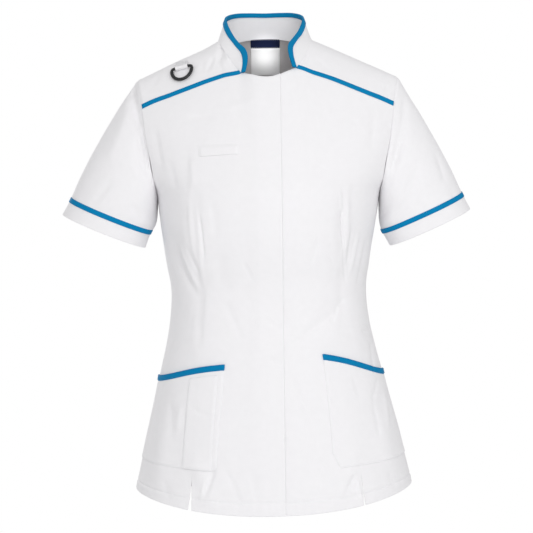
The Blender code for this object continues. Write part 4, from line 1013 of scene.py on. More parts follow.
# %% Splines over the nets
def spline_weights(keys, places):
    """The matrix that turns values at the keys into values at other places between them."""
    count = len(keys)
    one = np.eye(count)
    spans = np.diff(keys)
    steps = (one[1:] - one[:-1]) / spans[:, None]
    slopes = np.zeros((count, count))
    for k in range(1, count - 1):
        slopes[k] = (spans[k] * steps[k - 1] + spans[k - 1] * steps[k]) / (spans[k - 1] + spans[k])
    slopes[0] = 2 * steps[0] - slopes[1]
    slopes[-1] = 2 * steps[-1] - slopes[-2]
    k = np.clip(np.searchsorted(keys, places, side="right") - 1, 0, count - 2)
    span = spans[k][:, None]
    t = (places - keys[k])[:, None] / span
    low = (2 * t**3 - 3 * t**2 + 1) * one[k] + (t**3 - 2 * t**2 + t) * span * slopes[k]
    return low + (3 * t**2 - 2 * t**3) * one[k + 1] + (t**3 - t**2) * span * slopes[k + 1]


EDGE_STEPS = (0.0005, 0.0012, 0.0022)  # the finer steps beside an edge or a mark
DENSE = 2.2  # how many times closer the places lie over a dart
LEAST_STEP = 0.0003
NARROW = 0.02  # a piece narrower than this needs only the finest step beside its edges


def spread(low, high, step, marks=(), dense=()):
    """Places from low to high about a step apart, closer at both ends, at each mark and over dense."""
    places = list(np.linspace(low, high, max(2, round((high - low) / step) + 1)))
    for start, end in dense:
        places += list(np.arange(start, end, step / DENSE))
    near = EDGE_STEPS if high - low > NARROW else EDGE_STEPS[:1]
    for distance in near:
        places += [low + distance, high - distance]
        for mark in marks:
            places += [mark - distance, mark, mark + distance]
    places = sorted(p for p in places if low <= p <= high)
    kept = [places[0]]
    for place in places[1:]:
        if place - kept[-1] > LEAST_STEP:
            kept.append(place)
    kept[-1] = high
    return np.array(kept)


def running_length(steps):
    return np.concatenate(((0,), np.cumsum(steps)))


print("spline weights halfway:", np.round(spline_weights(np.arange(4.0), np.array((1.5,))), 4)[0])

# %% [markdown]
# A panel keeps its coarse net, the way through the cloth at each point of it, and how far a seam
# draws each point back. Weaving it gives all of that at any rows and columns.

# %% Panels
class Panel:
    """A sheet of cloth over a coarse net; rows and columns are told by their way in metres."""

    def __init__(self, net, side=1, ring=False):
        self.mirror = np.array((side, 1, 1))
        self.points = np.array([[p for p, n in row] for row in net]) * self.mirror
        self.normals = np.array([[n for p, n in row] for row in net]) * self.mirror
        self.inward = -self.normals
        self.shift = np.zeros(self.points.shape)
        self.ring = ring
        self.measure()

    def measure(self):
        """Sets the way in metres to each row (down) and each column (over) of the net."""
        closed = np.concatenate((self.points, self.points[:, :1]), axis=1) if self.ring else self.points
        self.over = running_length(np.linalg.norm(np.diff(closed, axis=1), axis=2).mean(axis=0))
        self.down = running_length(np.linalg.norm(np.diff(self.points, axis=0), axis=2).mean(axis=1))

    def pull_back(self, edge):
        """Draws the lower or the upper edge back by half the seam's gap."""
        border, inside = (0, 1) if edge == "bottom" else (-1, -2)
        line = self.points[border]
        along = unit(np.gradient(line, axis=0))
        ways = self.points[inside] - line
        across = unit(ways - along * (ways * along).sum(axis=1)[:, None])
        self.shift[border] += across * SEAM_GAP / 2

    def join(self, row, where, joint, sign=-1):
        """Gives a border point its mitre, drawn back from the seam."""
        self.inward[row, where] = joint[0] * self.mirror
        self.shift[row, where] += sign * joint[1] * self.mirror * SEAM_GAP / 2

    def weave(self, rows, columns, crossed=True):
        """Points, normals, ways inward and shifts at rows and columns, crossed or one by one."""
        by_row = spline_weights(self.down, rows)
        keys = self.over
        layers = [self.points, self.normals, self.inward, self.shift]
        if self.ring:
            turn = keys[-1]
            keys = np.concatenate((keys[-4:-1] - turn, keys, keys[1:4] + turn))
            layers = [np.concatenate((v[:, -3:], v, v[:, :4]), axis=1) for v in layers]
        by_column = spline_weights(keys, columns)
        form = "mi,ijd,kj->mkd" if crossed else "ki,ijd,kj->kd"
        found = [np.einsum(form, by_row, layer, by_column, optimize=True) for layer in layers]
        found[1] = unit(found[1])
        return found


print("a panel can", [name for name in vars(Panel) if not name.startswith("_")])

# %% [markdown]
# Every cloth piece is a closed shell: an outer skin, an inner one, and a rounded rim between
# them where the cloth is folded over. A sewn edge dips a little, because the thread pulls it in.

# %% Meshes of cloth
made = {}
inner_faces = {}


def show(name, data):
    """Puts a mesh, a lamp or a camera into the scene as it is."""
    thing = bpy.data.objects.new(name, data)
    bpy.context.scene.collection.objects.link(thing)
    return thing


def make_mesh(name, points, faces, flat, turn=0.0):
    """A smooth-shaded mesh of quads with UVs; turn is a tube's girth, past which they go on."""
    points = np.asarray(points, float)
    faces = np.asarray(faces)
    a, b, c, d = (points[faces[:, k]] for k in range(4))
    if float((np.cross(a, b) * c).sum() + (np.cross(a, c) * d).sum()) < 0:
        faces = faces[:, ::-1]
    mesh = bpy.data.meshes.new(name)
    mesh.from_pydata(points.tolist(), [], faces.tolist())
    corners = flat[faces]
    if turn:
        wraps = np.ptp(corners[..., 0], axis=1) > turn / 2
        corners[..., 0] += (wraps[:, None] & (corners[..., 0] < turn / 2)) * turn
    mesh.uv_layers.new(name="flat").data.foreach_set("uv", corners.astype(np.float32).reshape(-1))
    mesh.shade_smooth()
    made[name] = show(name, mesh)


def grid_quads(rows, columns, ring=False):
    """The quads of a grid of points, counted row by row."""
    j, i = np.meshgrid(np.arange(rows - 1), np.arange(columns if ring else columns - 1), indexing="ij")
    a = (j * columns + i).reshape(-1)
    b = (j * columns + (i + 1) % columns).reshape(-1)
    return np.stack((a, b, b + columns, a + columns), axis=1)


def grid_of(rows, columns):
    """Where each point of a grid lies on the flat cloth: across, then up."""
    return np.stack(np.meshgrid(rows, columns, indexing="ij")[::-1], axis=-1)


RIM_ROUND = 0.4  # how far a rim stands out, as a share of the cloth's thickness


def close_shell(name, outer, inner, faces, flat, turn=0.0):
    """One mesh from two skins with the same faces, closed by a rounded rim."""
    outer, inner, flat = outer.reshape(-1, 3), inner.reshape(-1, 3), flat.reshape(-1, 2)
    count = len(outer)
    faces = np.asarray(faces)
    edges = np.concatenate([faces[:, [k, (k + 1) % 4]] for k in range(4)])
    codes = set((edges[:, 0].astype(np.int64) * count + edges[:, 1]).tolist())
    back = edges[:, 1].astype(np.int64) * count + edges[:, 0]
    rim = edges[[code not in codes for code in back.tolist()]]
    corner = outer[faces[:, 1]] - outer[faces[:, 0]], outer[faces[:, 3]] - outer[faces[:, 0]]
    face_normal = unit(np.cross(*corner))
    vertex_normal = np.zeros((count, 3))
    for k in range(4):
        np.add.at(vertex_normal, faces[:, k], face_normal)
    way = unit(np.cross(outer[rim[:, 1]] - outer[rim[:, 0]], vertex_normal[rim[:, 0]]))
    out = np.zeros((count, 3))
    for k in range(2):
        np.add.at(out, rim[:, k], way)
    border = np.unique(rim)
    number = np.full(count, -1)
    number[border] = np.arange(len(border)) + 2 * count
    thick = np.linalg.norm(outer[border] - inner[border], axis=1)[:, None]
    middle = (outer[border] + inner[border]) / 2 + unit(out[border]) * thick * RIM_ROUND
    a, b = rim[:, 0], rim[:, 1]
    upper = np.stack((b, a, number[a], number[b]), axis=1)
    lower = np.stack((number[b], number[a], a + count, b + count), axis=1)
    solid = np.concatenate((faces, faces[:, ::-1] + count, upper, lower))
    inner_faces[name] = len(faces)
    flat = np.concatenate((flat, flat, flat[border]))
    make_mesh(name, np.concatenate((outer, inner, middle)), solid, flat, turn)


print("mesh helpers ready")

# %% [markdown]
# A shell follows its panel's net, raised by the folds, by what lies under it and by its sewing. A
# hem is doubled cloth below a line of stitches, and a vent is a slit that opens downwards.

# %% Cloth shells
SEAM_DIP, DIP_REACH = 0.0007, 0.0016  # how far a seam is drawn in, and over what width
# how far the cloth beside it stands up, at what distance and over what width
SEAM_PUFF, PUFF_PLACE, PUFF_REACH = 0.0004, 0.0045, 0.0025
HEM = 0.016  # from the lower edge to the hem's stitches
HEM_STEP = 0.0003  # how much the doubled cloth stands out
HEM_BLEND = 0.0008  # how far either side of the stitches it does so
PUCKER = 0.00022  # how high a hem's puckers are
PUCKER_WAYS = (0.0017, 0.013, 0.031)  # how long the puckers are, and how slowly they change
SLIT_REACH = 0.018  # how far from a slit the cloth gives way
SLIT_CURVE = 1.3  # over 1 makes a slit open more slowly at first


def skins(woven, group, height=0.0, thick=CLOTH):
    """The outer and inner points of a woven grid, raised by its folds and by height."""
    points, normals, inward, shift = woven
    rise = relief(points, normals, group) + height
    start = points + normals * np.asarray(rise)[..., None] + shift
    return settle(start), settle(start + inward * np.asarray(thick)[..., None])


def bell(away, reach):
    return np.exp(-((away / reach) ** 2))


def seam_dip(places, edges):
    """How far the cloth is drawn in beside sewn edges, at places along one way."""
    dip = np.zeros(len(places))
    for edge in edges:
        away = np.abs(places - edge)
        dip += SEAM_PUFF * bell(away - PUFF_PLACE, PUFF_REACH) - SEAM_DIP * bell(away, DIP_REACH)
    return dip


def hem_relief(rows, columns, hem):
    """A hem: doubled cloth below its line of stitches, slightly puckered along them."""
    # short waves that drift and come and go along the hem
    short, middle, long = (columns / way for way in PUCKER_WAYS)
    waves = np.sin(short + 1.7 * np.sin(middle)) * (0.6 + 0.4 * np.sin(long))
    ease = bell(rows - 0.75 * hem, 0.6 * hem) * PUCKER
    step = HEM_STEP * step_up(rows, hem + HEM_BLEND, hem - HEM_BLEND)
    return step[:, None] + ease[:, None] * waves[None, :]


def shell(name, panel, group, rows, columns, height=0.0, slit=None, dips=((), ()), hem=0.0):
    """A piece of cloth over part of a panel, between rows and columns."""
    sewn = dips[0] + ((hem,) if hem else ())
    height = height + seam_dip(rows, sewn)[:, None] + seam_dip(columns, dips[1])[None, :]
    if hem:
        height = height + hem_relief(rows, columns, hem)
    faces = grid_quads(len(rows), len(columns), panel.ring)
    outer, inner = skins(panel.weave(rows, columns), group, height)
    lines = [outer.reshape(-1, 3), inner.reshape(-1, 3), grid_of(rows, columns).reshape(-1, 2)]
    if slit:
        lines, faces = cut_slit(lines, faces, rows, columns, *slit)
    close_shell(name, *lines[:2], faces, lines[2], panel.over[-1] if panel.ring else 0.0)


def cut_slit(lines, faces, rows, columns, where, top, opening):
    """Parts a grid along one column up to a height, open by that much at the lowest row."""
    outer, inner, flat = lines
    wide = len(columns)
    column_at = int(np.argmin(np.abs(columns - where)))
    cut = int(np.argmin(np.abs(rows - top)))
    grid = outer.reshape(len(rows), wide, 3)
    way = unit(grid[:, column_at + 1] - grid[:, column_at - 1])
    apart = (opening * np.clip(1 - rows / top, 0, 1) ** SLIT_CURVE + SEAM_GAP) / 2
    apart[cut:] = 0
    ease = bell(columns - where, SLIT_REACH) * np.where(columns < where, -1, 1)
    left = way[:, None, :] * (apart[:, None] * ease[None, :])[..., None]
    left[:, column_at] = -way * apart[:, None]
    right = way * apart[:, None]
    extra = np.arange(cut) * wide + column_at
    new = [np.concatenate((v + left.reshape(-1, 3), v[extra] + right[:cut])) for v in (outer, inner)]
    number = np.arange(len(outer))
    number[extra] = len(outer) + np.arange(cut)
    beyond = (faces[:, 0] % wide) >= column_at
    faces[beyond] = number[faces[beyond]]
    return [*new, np.concatenate((flat, flat[extra]))], faces


print("shell helpers ready")

# %% [markdown]
# The fronts. The wearer's right front laps over the left one, and its free edge is pressed and
# stitched as a fly that covers the fasteners. A vent opens at the lower end of each front, over
# the thigh.

# %% Fronts
HANDS = ((-1, "right"), (1, "left"))  # the side of the centre that a hand's pieces lie on
GRAIN = 0.0026  # distance between the threads of the fine net
DART = (0.092, 0.114)  # the dart needs finer columns than the open cloth, between these x
front_panels = {}
for side, hand in HANDS:
    panel = Panel(NET_FRONT[side][0], side)
    panel.pull_back("top")
    panel.shift[: BELOW + 1, -1] += (0, -SEAM_GAP / 2, 0)
    for j in range(len(UPPER_ROWS) + 2):
        panel.join(BELOW + j, -1, ARM_JOINTS[side][j])
    front_panels[side] = panel
    vent, vent_top = panel.over[VENT_COLUMN], panel.down[VENT_ROW]
    rows = spread(0.0, panel.down[-1], GRAIN, (vent_top, HEM))
    at_dart = np.interp(DART, np.abs(panel.points[BELOW - 3, :, 0]), panel.over)
    columns = spread(0.0, panel.over[-1], GRAIN, (vent,), (at_dart,))
    # the lap ends at the third column, and steps down softly beyond it
    lap = WRAP_LIFT * step_up(columns, panel.over[4], panel.over[2] - 0.002)[None, :]
    shell(
        "front_" + hand, panel, "b", rows, columns, lap if side < 0 else 0.0,
        slit=(vent, vent_top, VENT_OPENING[side]),
        dips=((panel.down[-1],), (panel.over[-1],)), hem=HEM,
    )
print("left front", len(rows), "by", len(columns), "places")

# %% [markdown]
# The yokes lie over the shoulders from the blue chest seam to the shoulder seam, and the back is
# one panel from side to side.

# %% Yokes and back
yoke_panels = {}
for side, hand in HANDS:
    panel = Panel(NET_YOKE, side)
    panel.pull_back("bottom")
    panel.pull_back("top")
    for j in range(len(YOKE_RISE)):
        panel.join(j, -1, ARM_JOINTS[side][len(UPPER_ROWS) + 1 + j])
        panel.join(j, 0, NECK_JOINTS[j], 0)
    yoke_panels[side] = panel
    rows, columns = (spread(0.0, way[-1], GRAIN) for way in (panel.down, panel.over))
    shell("yoke_" + hand, panel, "b", rows, columns, dips=((0.0, panel.down[-1]), (panel.over[-1],)))

BACK_GRAIN = 0.0033  # the back is plain, so a coarser net will do
halves = []
for side, hand in HANDS:
    half = Panel(NET_BACK, side)
    half.pull_back("top")
    half.shift[: BELOW + 1, 0] += (0, SEAM_GAP / 2, 0)
    for j in range(len(BACK_RISE)):
        half.join(BELOW + j, 0, ARM_JOINTS[side][-j])
    turn = len(NET_SHOULDER) - 1
    half.shift[-1, turn + 1 :] = 0
    for k in range(turn, len(BACK_COLUMNS)):
        half.join(-1, k, NECK_JOINTS[len(YOKE_RISE) - 1 + k - turn])
    halves.append(half)
back_panel = Panel(NET_BACK)
for layer in ("points", "normals", "inward", "shift"):
    right, left = (getattr(half, layer) for half in halves)
    setattr(back_panel, layer, np.concatenate((right, left[:, ::-1][:, 1:]), axis=1))
back_panel.measure()
rows = spread(0.0, back_panel.down[-1], BACK_GRAIN, (HEM,))
columns = spread(0.0, back_panel.over[-1], BACK_GRAIN)
edges = ((back_panel.down[-1],), (0.0, back_panel.over[-1]))
shell("back", back_panel, "b", rows, columns, dips=edges, hem=HEM)
print("back", len(rows), "by", len(columns), "places")

# %% [markdown]
# The sleeves are short tubes set into the armholes, each with a cuff of its own below a blue
# band. The cloth of the sleeve head is eased into its seam, so it stands up a little beside it.

# %% Sleeves and cuffs
tubes = {}
CUFF_ROW = len(SLEEVE_RISE) - 1  # the row where a sleeve ends and its cuff starts


def round_tube(tube):
    """Places once round a tube, its first one not repeated."""
    return np.linspace(0.0, tube.over[-1], round(tube.over[-1] / GRAIN) + 1)[:-1]


for side, hand in HANDS:
    net = [list(zip(points, outs)) for points, outs in zip(TUBES[side], TUBE_OUT[side])]
    tube = Panel(net, side, ring=True)
    for k, joint in enumerate(ARM_JOINTS[side]):
        tube.join(0, k, joint, 1)
    tubes[side] = tube
    for name, span, edge in (
        ("sleeve_", slice(0, CUFF_ROW + 1), "top"),
        ("cuff_", slice(CUFF_ROW, None), "bottom"),
    ):
        piece = Panel(net[span], side, ring=True)
        piece.inward, piece.shift = tube.inward[span].copy(), tube.shift[span].copy()
        piece.pull_back(edge)
        rows, columns = spread(0.0, piece.down[-1], GRAIN), round_tube(piece)
        sewn = (0.0, piece.down[-1]) if edge == "top" else (0.0,)
        shell(name + hand, piece, "s", rows, columns, dips=(sewn, ()))
print("left cuff", len(rows), "by", len(columns), "places")

# %% [markdown]
# The collar stands up round the neck, open at the front. Its net has four rows, and the lowest
# shares the mitres of the neck seam.

# %% Collar
COLLAR_GRAIN = 0.0018
START_SHARE = 0.35  # the shell comes this much closer to the front than the solid
half = []
for angle in COLLAR_STATIONS:
    low = shoulder_point(*neck_station(angle))
    rise = collar_top(angle) - low
    bulge = collar_outward(angle) * COLLAR_BULGE
    edge = 1 - BINDING / np.linalg.norm(rise)
    half.append([low + rise * v + bulge * math.sin(math.pi * v) for v in (0.0, edge / 2, edge, 1.0)])
half[0] = [p + (q - p) * COLLAR_START * START_SHARE for p, q in zip(half[0], half[1])]
half = np.array(half).transpose(1, 0, 2)
strip = np.concatenate((half * (-1, 1, 1), half[:, ::-1][:, 1:]), axis=1)
strip_out = unit(np.cross(np.gradient(strip, axis=1), np.gradient(strip, axis=0)))
middle = len(COLLAR_STATIONS) - 1
if strip_out[1, middle, 1] < 0:
    strip_out = -strip_out
collar = Panel([list(zip(line, outs)) for line, outs in zip(strip, strip_out)])
for k, (inward, across) in enumerate(NECK_JOINTS):
    for place, side in ((k, -1), (2 * middle - k, 1)):
        collar.inward[0, place] = inward * (side, 1, 1)
collar_columns = spread(0.0, collar.over[-1], COLLAR_GRAIN)
shell("collar", collar, "c", spread(0.0, collar.down[-1], COLLAR_GRAIN), collar_columns)


print("collar is open from", np.round(strip[0, 0], 4), "to", np.round(strip[0, -1], 4))

# %% [markdown]
# Trim is made by carrying a section along a line. The collar's top edge is bound with a folded
# strip of the blue cloth, which runs a little past both of its ends.

# %% The collar's binding
def carry(name, sections, ring=False):
    """A solid from closed sections, carried along a line, with both ends filled."""
    sections = np.array(sections).transpose(1, 0, 2)
    count, around = sections.shape[:2]
    rows = np.arange(count if ring else count - 1)[:, None] * around
    k = np.arange(around)[None, :]
    ahead = (rows + around) % (count * around)
    corners = (rows + k, rows + (k + 1) % around, ahead + (k + 1) % around, ahead + k)
    faces = [np.stack([corner.reshape(-1) for corner in corners], axis=1)]
    if not ring:
        # a band's section is as many points forth as back, so its ends close with quads
        i = np.arange(around // 2 - 1)
        cap = np.stack((i, i + 1, around - 2 - i, around - 1 - i), axis=1)
        faces += [cap[:, ::-1], cap + (count - 1) * around]
    way = running_length(np.linalg.norm(np.diff(sections[:, 0], axis=0), axis=1))
    girth = np.linalg.norm(np.diff(sections, axis=1, append=sections[:, :1]), axis=2).mean(axis=0)
    flat = grid_of(way, running_length(girth)[:-1])[..., ::-1]
    make_mesh(name, sections.reshape(-1, 3), np.concatenate(faces), flat.reshape(-1, 2))


FOLD_HIGH = 0.0009  # how far the binding's fold stands over the collar's edge
BINDING_END = 0.0012  # and how far the binding runs past its ends


def bound_edge(panel, columns):
    """Sections of the binding: over the collar's edge along its outer face, back along its inner."""
    (low, top), outs = panel.weave(panel.down[-2:], columns)[:2]
    out, rise = unit(outs[0] + outs[1]), top - low
    up = unit(rise)
    room = CLOTH / 2 + SEAM_GAP
    wide = room + TRIM
    # share of the way up the binding, distance from the middle of the cloth, height over its edge
    outer = [(0.10, wide * 0.9, 0.0), (0.12, wide * 1.04, 0.0), (0.5, wide * 1.08, 0.0), (0.9, wide, 0.0)]
    outer += [(1.0, wide * math.cos(turn), FOLD_HIGH * math.sin(turn)) for turn in (0.35, 0.9, 1.57)]
    inner = [(share, -room, 0.0) for share in (0.1, 0.2, 0.3, 0.4, 0.9)]
    inner += [(1.0, -room / 2, 0.0003), (1.0, 0.0, 0.0004)]
    sections = []
    for line in (outer, inner):
        for share, aside, lift in line + [(s, -a, h) for s, a, h in reversed(line[:-1])]:
            sections.append(settle(low + rise * share + out * (aside - CLOTH / 2) + up * lift))
    return sections


ends = (-BINDING_END,), collar_columns[1:-1], (collar.over[-1] + BINDING_END,)
carry("collar_binding", bound_edge(collar, np.concatenate(ends)))
print("binding", BINDING * 1000, "mm deep")

# %% [markdown]
# The blue piping is a narrow folded strip, laid over a seam and stitched down. It is carried
# along the seam line, so it keeps its width, and it is a little fuller in the middle.

# %% Piping over the seams
BAND = (-1.0, -0.93, -0.7, -0.35, 0.0, 0.35, 0.7, 0.93, 1.0)  # across the band, edge to edge
ASIDE = 0.010  # how far from the seam the cloth on either side is looked up
PIPING_OUT, PIPING_SHORT = 0.0015, 0.001  # past the collar's end, and short of the armhole


def lay_band(name, middle, below, above, normals, group, ring=False):
    """A strip over a line of points, which reaches towards a line below it and one above it."""
    sections = []
    for sole in (False, True):
        for s in BAND[::-1] if sole else BAND:
            toward = unit((above if s > 0 else below) - middle)
            point = middle + toward * abs(s) * PIPING / 2
            rise = relief(point, normals, group) + PIPING_GAP
            if not sole:
                # fullest in the middle, and turned down at both edges
                rise = rise + TRIM * (1.12 - 0.3 * s**2 - 0.5 * s**12)
            sections.append(settle(point + normals * rise[:, None]))
    carry(name, sections, ring)


for side, hand in HANDS:
    yoke, tube = yoke_panels[side], tubes[side]
    ways = np.linspace(-PIPING_OUT, yoke.over[-1] - PIPING_SHORT, round(yoke.over[-1] / GRAIN))
    (middle, above), outs = yoke.weave(np.array((0.0, ASIDE)), ways)[:2]
    lay_band("yoke_piping_" + hand, middle, 2 * middle - above, above, outs[0], "b")
    around_seam = tube.down[CUFF_ROW] + np.array((ASIDE, 0.0, -ASIDE))
    (below, middle, above), outs = tube.weave(around_seam, round_tube(tube))[:2]
    lay_band("cuff_piping_" + hand, middle, below, above, outs[1], "s", True)
print("piping", PIPING * 1000, "mm wide")

# %% [markdown]
# Pockets are patches of the same cloth on the fronts. The hip pockets take in the side seam and
# are bound along the mouth; a narrow pen pocket lies on the right one, and a welt marks the
# chest pocket.

# %% Pockets
CORNER_SLOPE = 0.45
EDGE_THIN = 0.0006  # how much thinner a patch is where it is sewn down
PRESSED, PRESSED_WELT = 0.0016, 0.004  # over what width, on a pocket and on the welt
PRESS = 0.9  # how much of the gap under it is pressed out there
EDGE_PUFF, PUFF_AWAY, PUFF_WIDE = 0.0003, 0.004, 0.002  # how much fuller it is beside that, and where


def patch(
    name, panel, row_span, column_span, height, thick,
    corner=0.0, step=GRAIN, thin=EDGE_THIN, drops=None,
):
    """A patch on a panel between two rows and two columns, its lower inner corner cut off. Its
    sewn edges thin out and are pressed down. A welt has drops, how far its lower and its upper
    edge are let down at their inner and outer ends, and its lower edge stands free."""
    u, v = np.moveaxis(grid_of(spread(*row_span, step), spread(*column_span, step)), -1, 0)
    wide = column_span[1] - column_span[0]
    inset = np.maximum(corner - (v - row_span[0]), 0) * CORNER_SLOPE
    u = u + inset * (column_span[1] - u) / wide
    away = [u - u[:, :1], row_span[1] - v if drops else v - row_span[0]]
    if drops or corner == 0:
        away.append(u[:, -1:] - u)
    away = np.minimum.reduce(away)
    if drops:
        low, high = (near + (far - near) * (u - column_span[0]) / wide for near, far in drops)
        v = v - low - (high - low) * (v - row_span[0]) / (row_span[1] - row_span[0])
    woven = [w.reshape(*v.shape, 3) for w in panel.weave(v.reshape(-1), u.reshape(-1), False)]
    woven[2], woven[3] = -woven[1], np.zeros(woven[3].shape)
    sewn = bell(away, PRESSED_WELT if drops else PRESSED)
    edge = -thin * sewn + EDGE_PUFF * bell(away - PUFF_AWAY, PUFF_WIDE)
    outer, inner = skins(woven, "b", height + thick + edge - PRESS * SEAM_GAP * sewn, thick + edge)
    close_shell(name, outer, inner, grid_quads(*v.shape), np.stack((u, v), axis=-1))


def near_and_far(ways, places):
    return tuple(ways[k] for k in places)


POCKET_CORNER = {-1: 0.004, 1: 0.022}  # how high the pocket's lower inner corner is cut off
PIPING_RISE, PIPING_EXTRA = 0.0007, 0.0006  # how much higher and thicker a pocket's piping is
FINE_GRAIN, WELT_GRAIN = 0.0016, 0.0012  # the finer nets of the narrow patches
for side, hand in HANDS:
    panel = front_panels[side]
    bottom, mouth, top = near_and_far(panel.down, POCKET_ROWS)
    span = (panel.over[POCKET_COLUMN], panel.over[-1] - SEAM_GAP)
    rows = (bottom, mouth - SEAM_GAP / 2)
    patch("hip_pocket_" + hand, panel, rows, span, SEAM_GAP, CLOTH, POCKET_CORNER[side])
    rows = (mouth + SEAM_GAP / 2, top)
    raised, thick = SEAM_GAP + PIPING_RISE, CLOTH + PIPING_EXTRA
    patch("pocket_piping_" + hand, panel, rows, span, raised, thick, step=FINE_GRAIN, thin=0.0003)
panel = front_panels[-1]
pen_rows = near_and_far(panel.down, (POCKET_ROWS[0], PEN_TOP_ROW))
pen_sides = near_and_far(panel.over, PEN_COLUMNS)
patch("pen_pocket", panel, pen_rows, pen_sides, 2 * SEAM_GAP + CLOTH, TRIM, thin=0.0005)
WELT_DROPS = ((0.0035, 0.0012), (0.0062, 0.0))  # lower edge, upper edge
welt_rows = near_and_far(panel.down, [BELOW + k for k in WELT_ROWS])
welt_sides = near_and_far(panel.over, WELT_COLUMNS)
welt = {"step": WELT_GRAIN, "thin": 0.0009, "drops": WELT_DROPS}
patch("chest_welt", panel, welt_rows, welt_sides, SEAM_GAP, TRIM, **welt)

# %% [markdown]
# A loop of the white cloth on the right yoke holds a black moulded D-ring, which swings up on
# its straight bar. The ring is rounder here than its solid, and rides on its own body.

# %% The D-ring
# The ring and its loop on the right yoke
RING_X = -0.1300  # where the bar lies along the shoulder
RING_BAR_Z = -0.0455  # and how high
RING_WIRE = 0.0021  # radius of the bar, and half the thickness of the bow
RING_WIDE = 0.0027  # half the width of the bow
RING_HALF = 0.0162  # half width of the D, to the middle of the wire
RING_DROP = 0.0225  # from the bar to the D's lowest point, wire middles
RING_CORNER = 0.003  # radius of the two corners beside the bar
RING_FULL = 0.9  # under 1 fills out the D's bow
RING_STEPS = 12  # from one end of the bow to the other
TAB_HALF = 0.0098  # half width of the loop
TAB_TAIL = 0.0100  # how far the loop's sewn end lies above the bar
TAB_PLAY = 0.0004  # round the bar
TAB_THIN = 0.0006  # how much nearer its middle the sewn end's faces lie
RING_TILT = 5.0  # how far the D leans in to the yoke, in degrees


def ring_frame():
    """The bar's middle, and the ways along the bar, down the yoke and out of it."""
    x = abs(RING_X)
    mirror = np.array((math.copysign(1, RING_X), 1, 1))
    bar = solve(lambda place: shoulder_point(x, place)[2] - RING_BAR_Z, 0, 1)
    normal = shoulder_normal(x, bar) * mirror
    up = shoulder_point(x, bar + 0.01) - shoulder_point(x, bar - 0.01)
    down = -unit(up * mirror)
    down = unit(down - normal * float(down @ normal))
    height = SEAM_GAP + TRIM + TAB_PLAY + RING_WIRE
    middle = settle(shoulder_point(x, bar) * mirror) + normal * height
    return middle, np.cross(down, normal), down, normal


def ring_path():
    """The D's middle line, along the bar and down the yoke, as a closed line."""
    bow = RING_DROP - RING_CORNER
    points = []
    for i in range(RING_STEPS + 1):
        turn = math.pi * i / RING_STEPS
        points.append((RING_HALF * math.cos(turn), RING_CORNER + bow * math.sin(turn) ** RING_FULL))
    for start, steps in ((180, (1, 2, 3)), (270, (0, 1, 2))):
        middle = math.copysign(RING_HALF - RING_CORNER, start - 200)
        for i in steps:
            turn = math.radians(start + 30 * i)
            points.append((middle + RING_CORNER * math.cos(turn), RING_CORNER * (1 + math.sin(turn))))
    return points


RING_SECTIONS, RING_SIDES = 96, 16
BOW_START = (0.002, 0.006)  # how far below the bar the wire starts to widen, and is at its widest
bar_middle, along, down_yoke, off_yoke = ring_frame()
tilt = math.radians(RING_TILT)
lean = down_yoke * math.cos(tilt) - off_yoke * math.sin(tilt)
out = np.cross(along, lean)
if float(out @ off_yoke) < 0:
    out = -out
path = np.array([along * a + lean * b for a, b in ring_path()])
closed = np.concatenate((path[-3:], path, path[:4]))
lengths = running_length(np.linalg.norm(np.diff(closed, axis=0), axis=1))
ways = np.linspace(lengths[3], lengths[-4], RING_SECTIONS + 1)[:-1]
line = spline_weights(lengths, ways) @ closed
tangents = unit(np.roll(line, -1, axis=0) - np.roll(line, 1, axis=0))
across = unit(np.cross(tangents, out))
wide = RING_WIRE + (RING_WIDE - RING_WIRE) * step_up(line @ lean, *BOW_START)
sections = []
for turn in np.linspace(0, 2 * math.pi, RING_SIDES + 1)[:-1]:
    section = line + across * (math.cos(turn) * wide)[:, None] + out * math.sin(turn) * RING_WIRE
    sections.append(section + bar_middle)
carry("ring", sections, True)
print("ring wire", round(2000 * RING_WIRE, 1), "mm")

# %% [markdown]
# The loop is one strip of cloth round the bar, pressed flat where its tail is sewn to the yoke. It
# is made from one section with a hole for the bar, set down seven times across its width.

# %% The ring's loop
TAB_ROUND = 0.0002
hole = RING_WIRE + TAB_PLAY
outside = hole + TRIM
section = [(-TAB_TAIL, 0.0), (-TAB_TAIL, outside - TAB_THIN)]
for turn in np.radians(np.linspace(150, -150, 17)):
    section.append((math.cos(turn) * outside, math.sin(turn) * outside))
section.append((-TAB_TAIL, -(outside - TAB_THIN)))
turns = np.linspace(-math.pi, math.pi, len(section) + 1)[:-1]
section, inner = np.array(section), hole * np.stack((np.cos(turns), np.sin(turns)), axis=1)
loops = []
for end in (-1, -0.94, -0.5, 0.0, 0.5, 0.94, 1):
    # the outer loop is a little slimmer at both edges of the strip
    slim = 1 - TAB_ROUND / outside if abs(end) == 1 else 1
    for loop in (section * (1, slim), inner):
        loops.append(along * TAB_HALF * end + loop[:, :1] * down_yoke + loop[:, 1:] * off_yoke)
count, around = len(loops) // 2, len(section)
points = np.concatenate(loops) + bar_middle
step = 2 * around
faces = []
for i in range(count):
    for k in range(around):
        a, b = i * step + k, i * step + (k + 1) % around
        if i < count - 1:
            faces.append((a, b, b + step, a + step))
            faces.append((b + around, a + around, a + around + step, b + around + step))
        if i in (0, count - 1):
            cap = (a, a + around, b + around, b)
            faces.append(cap if i == 0 else cap[::-1])
make_mesh("ring_tab", points, faces, (points - bar_middle) @ np.stack((along, down_yoke), axis=1))
print("loop", round(2000 * TAB_HALF, 1), "mm wide")

# %% [markdown]
# The label lies against the inside of the back of the neck. It is woven white satin with a navy
# band along the top, and it is left bare.

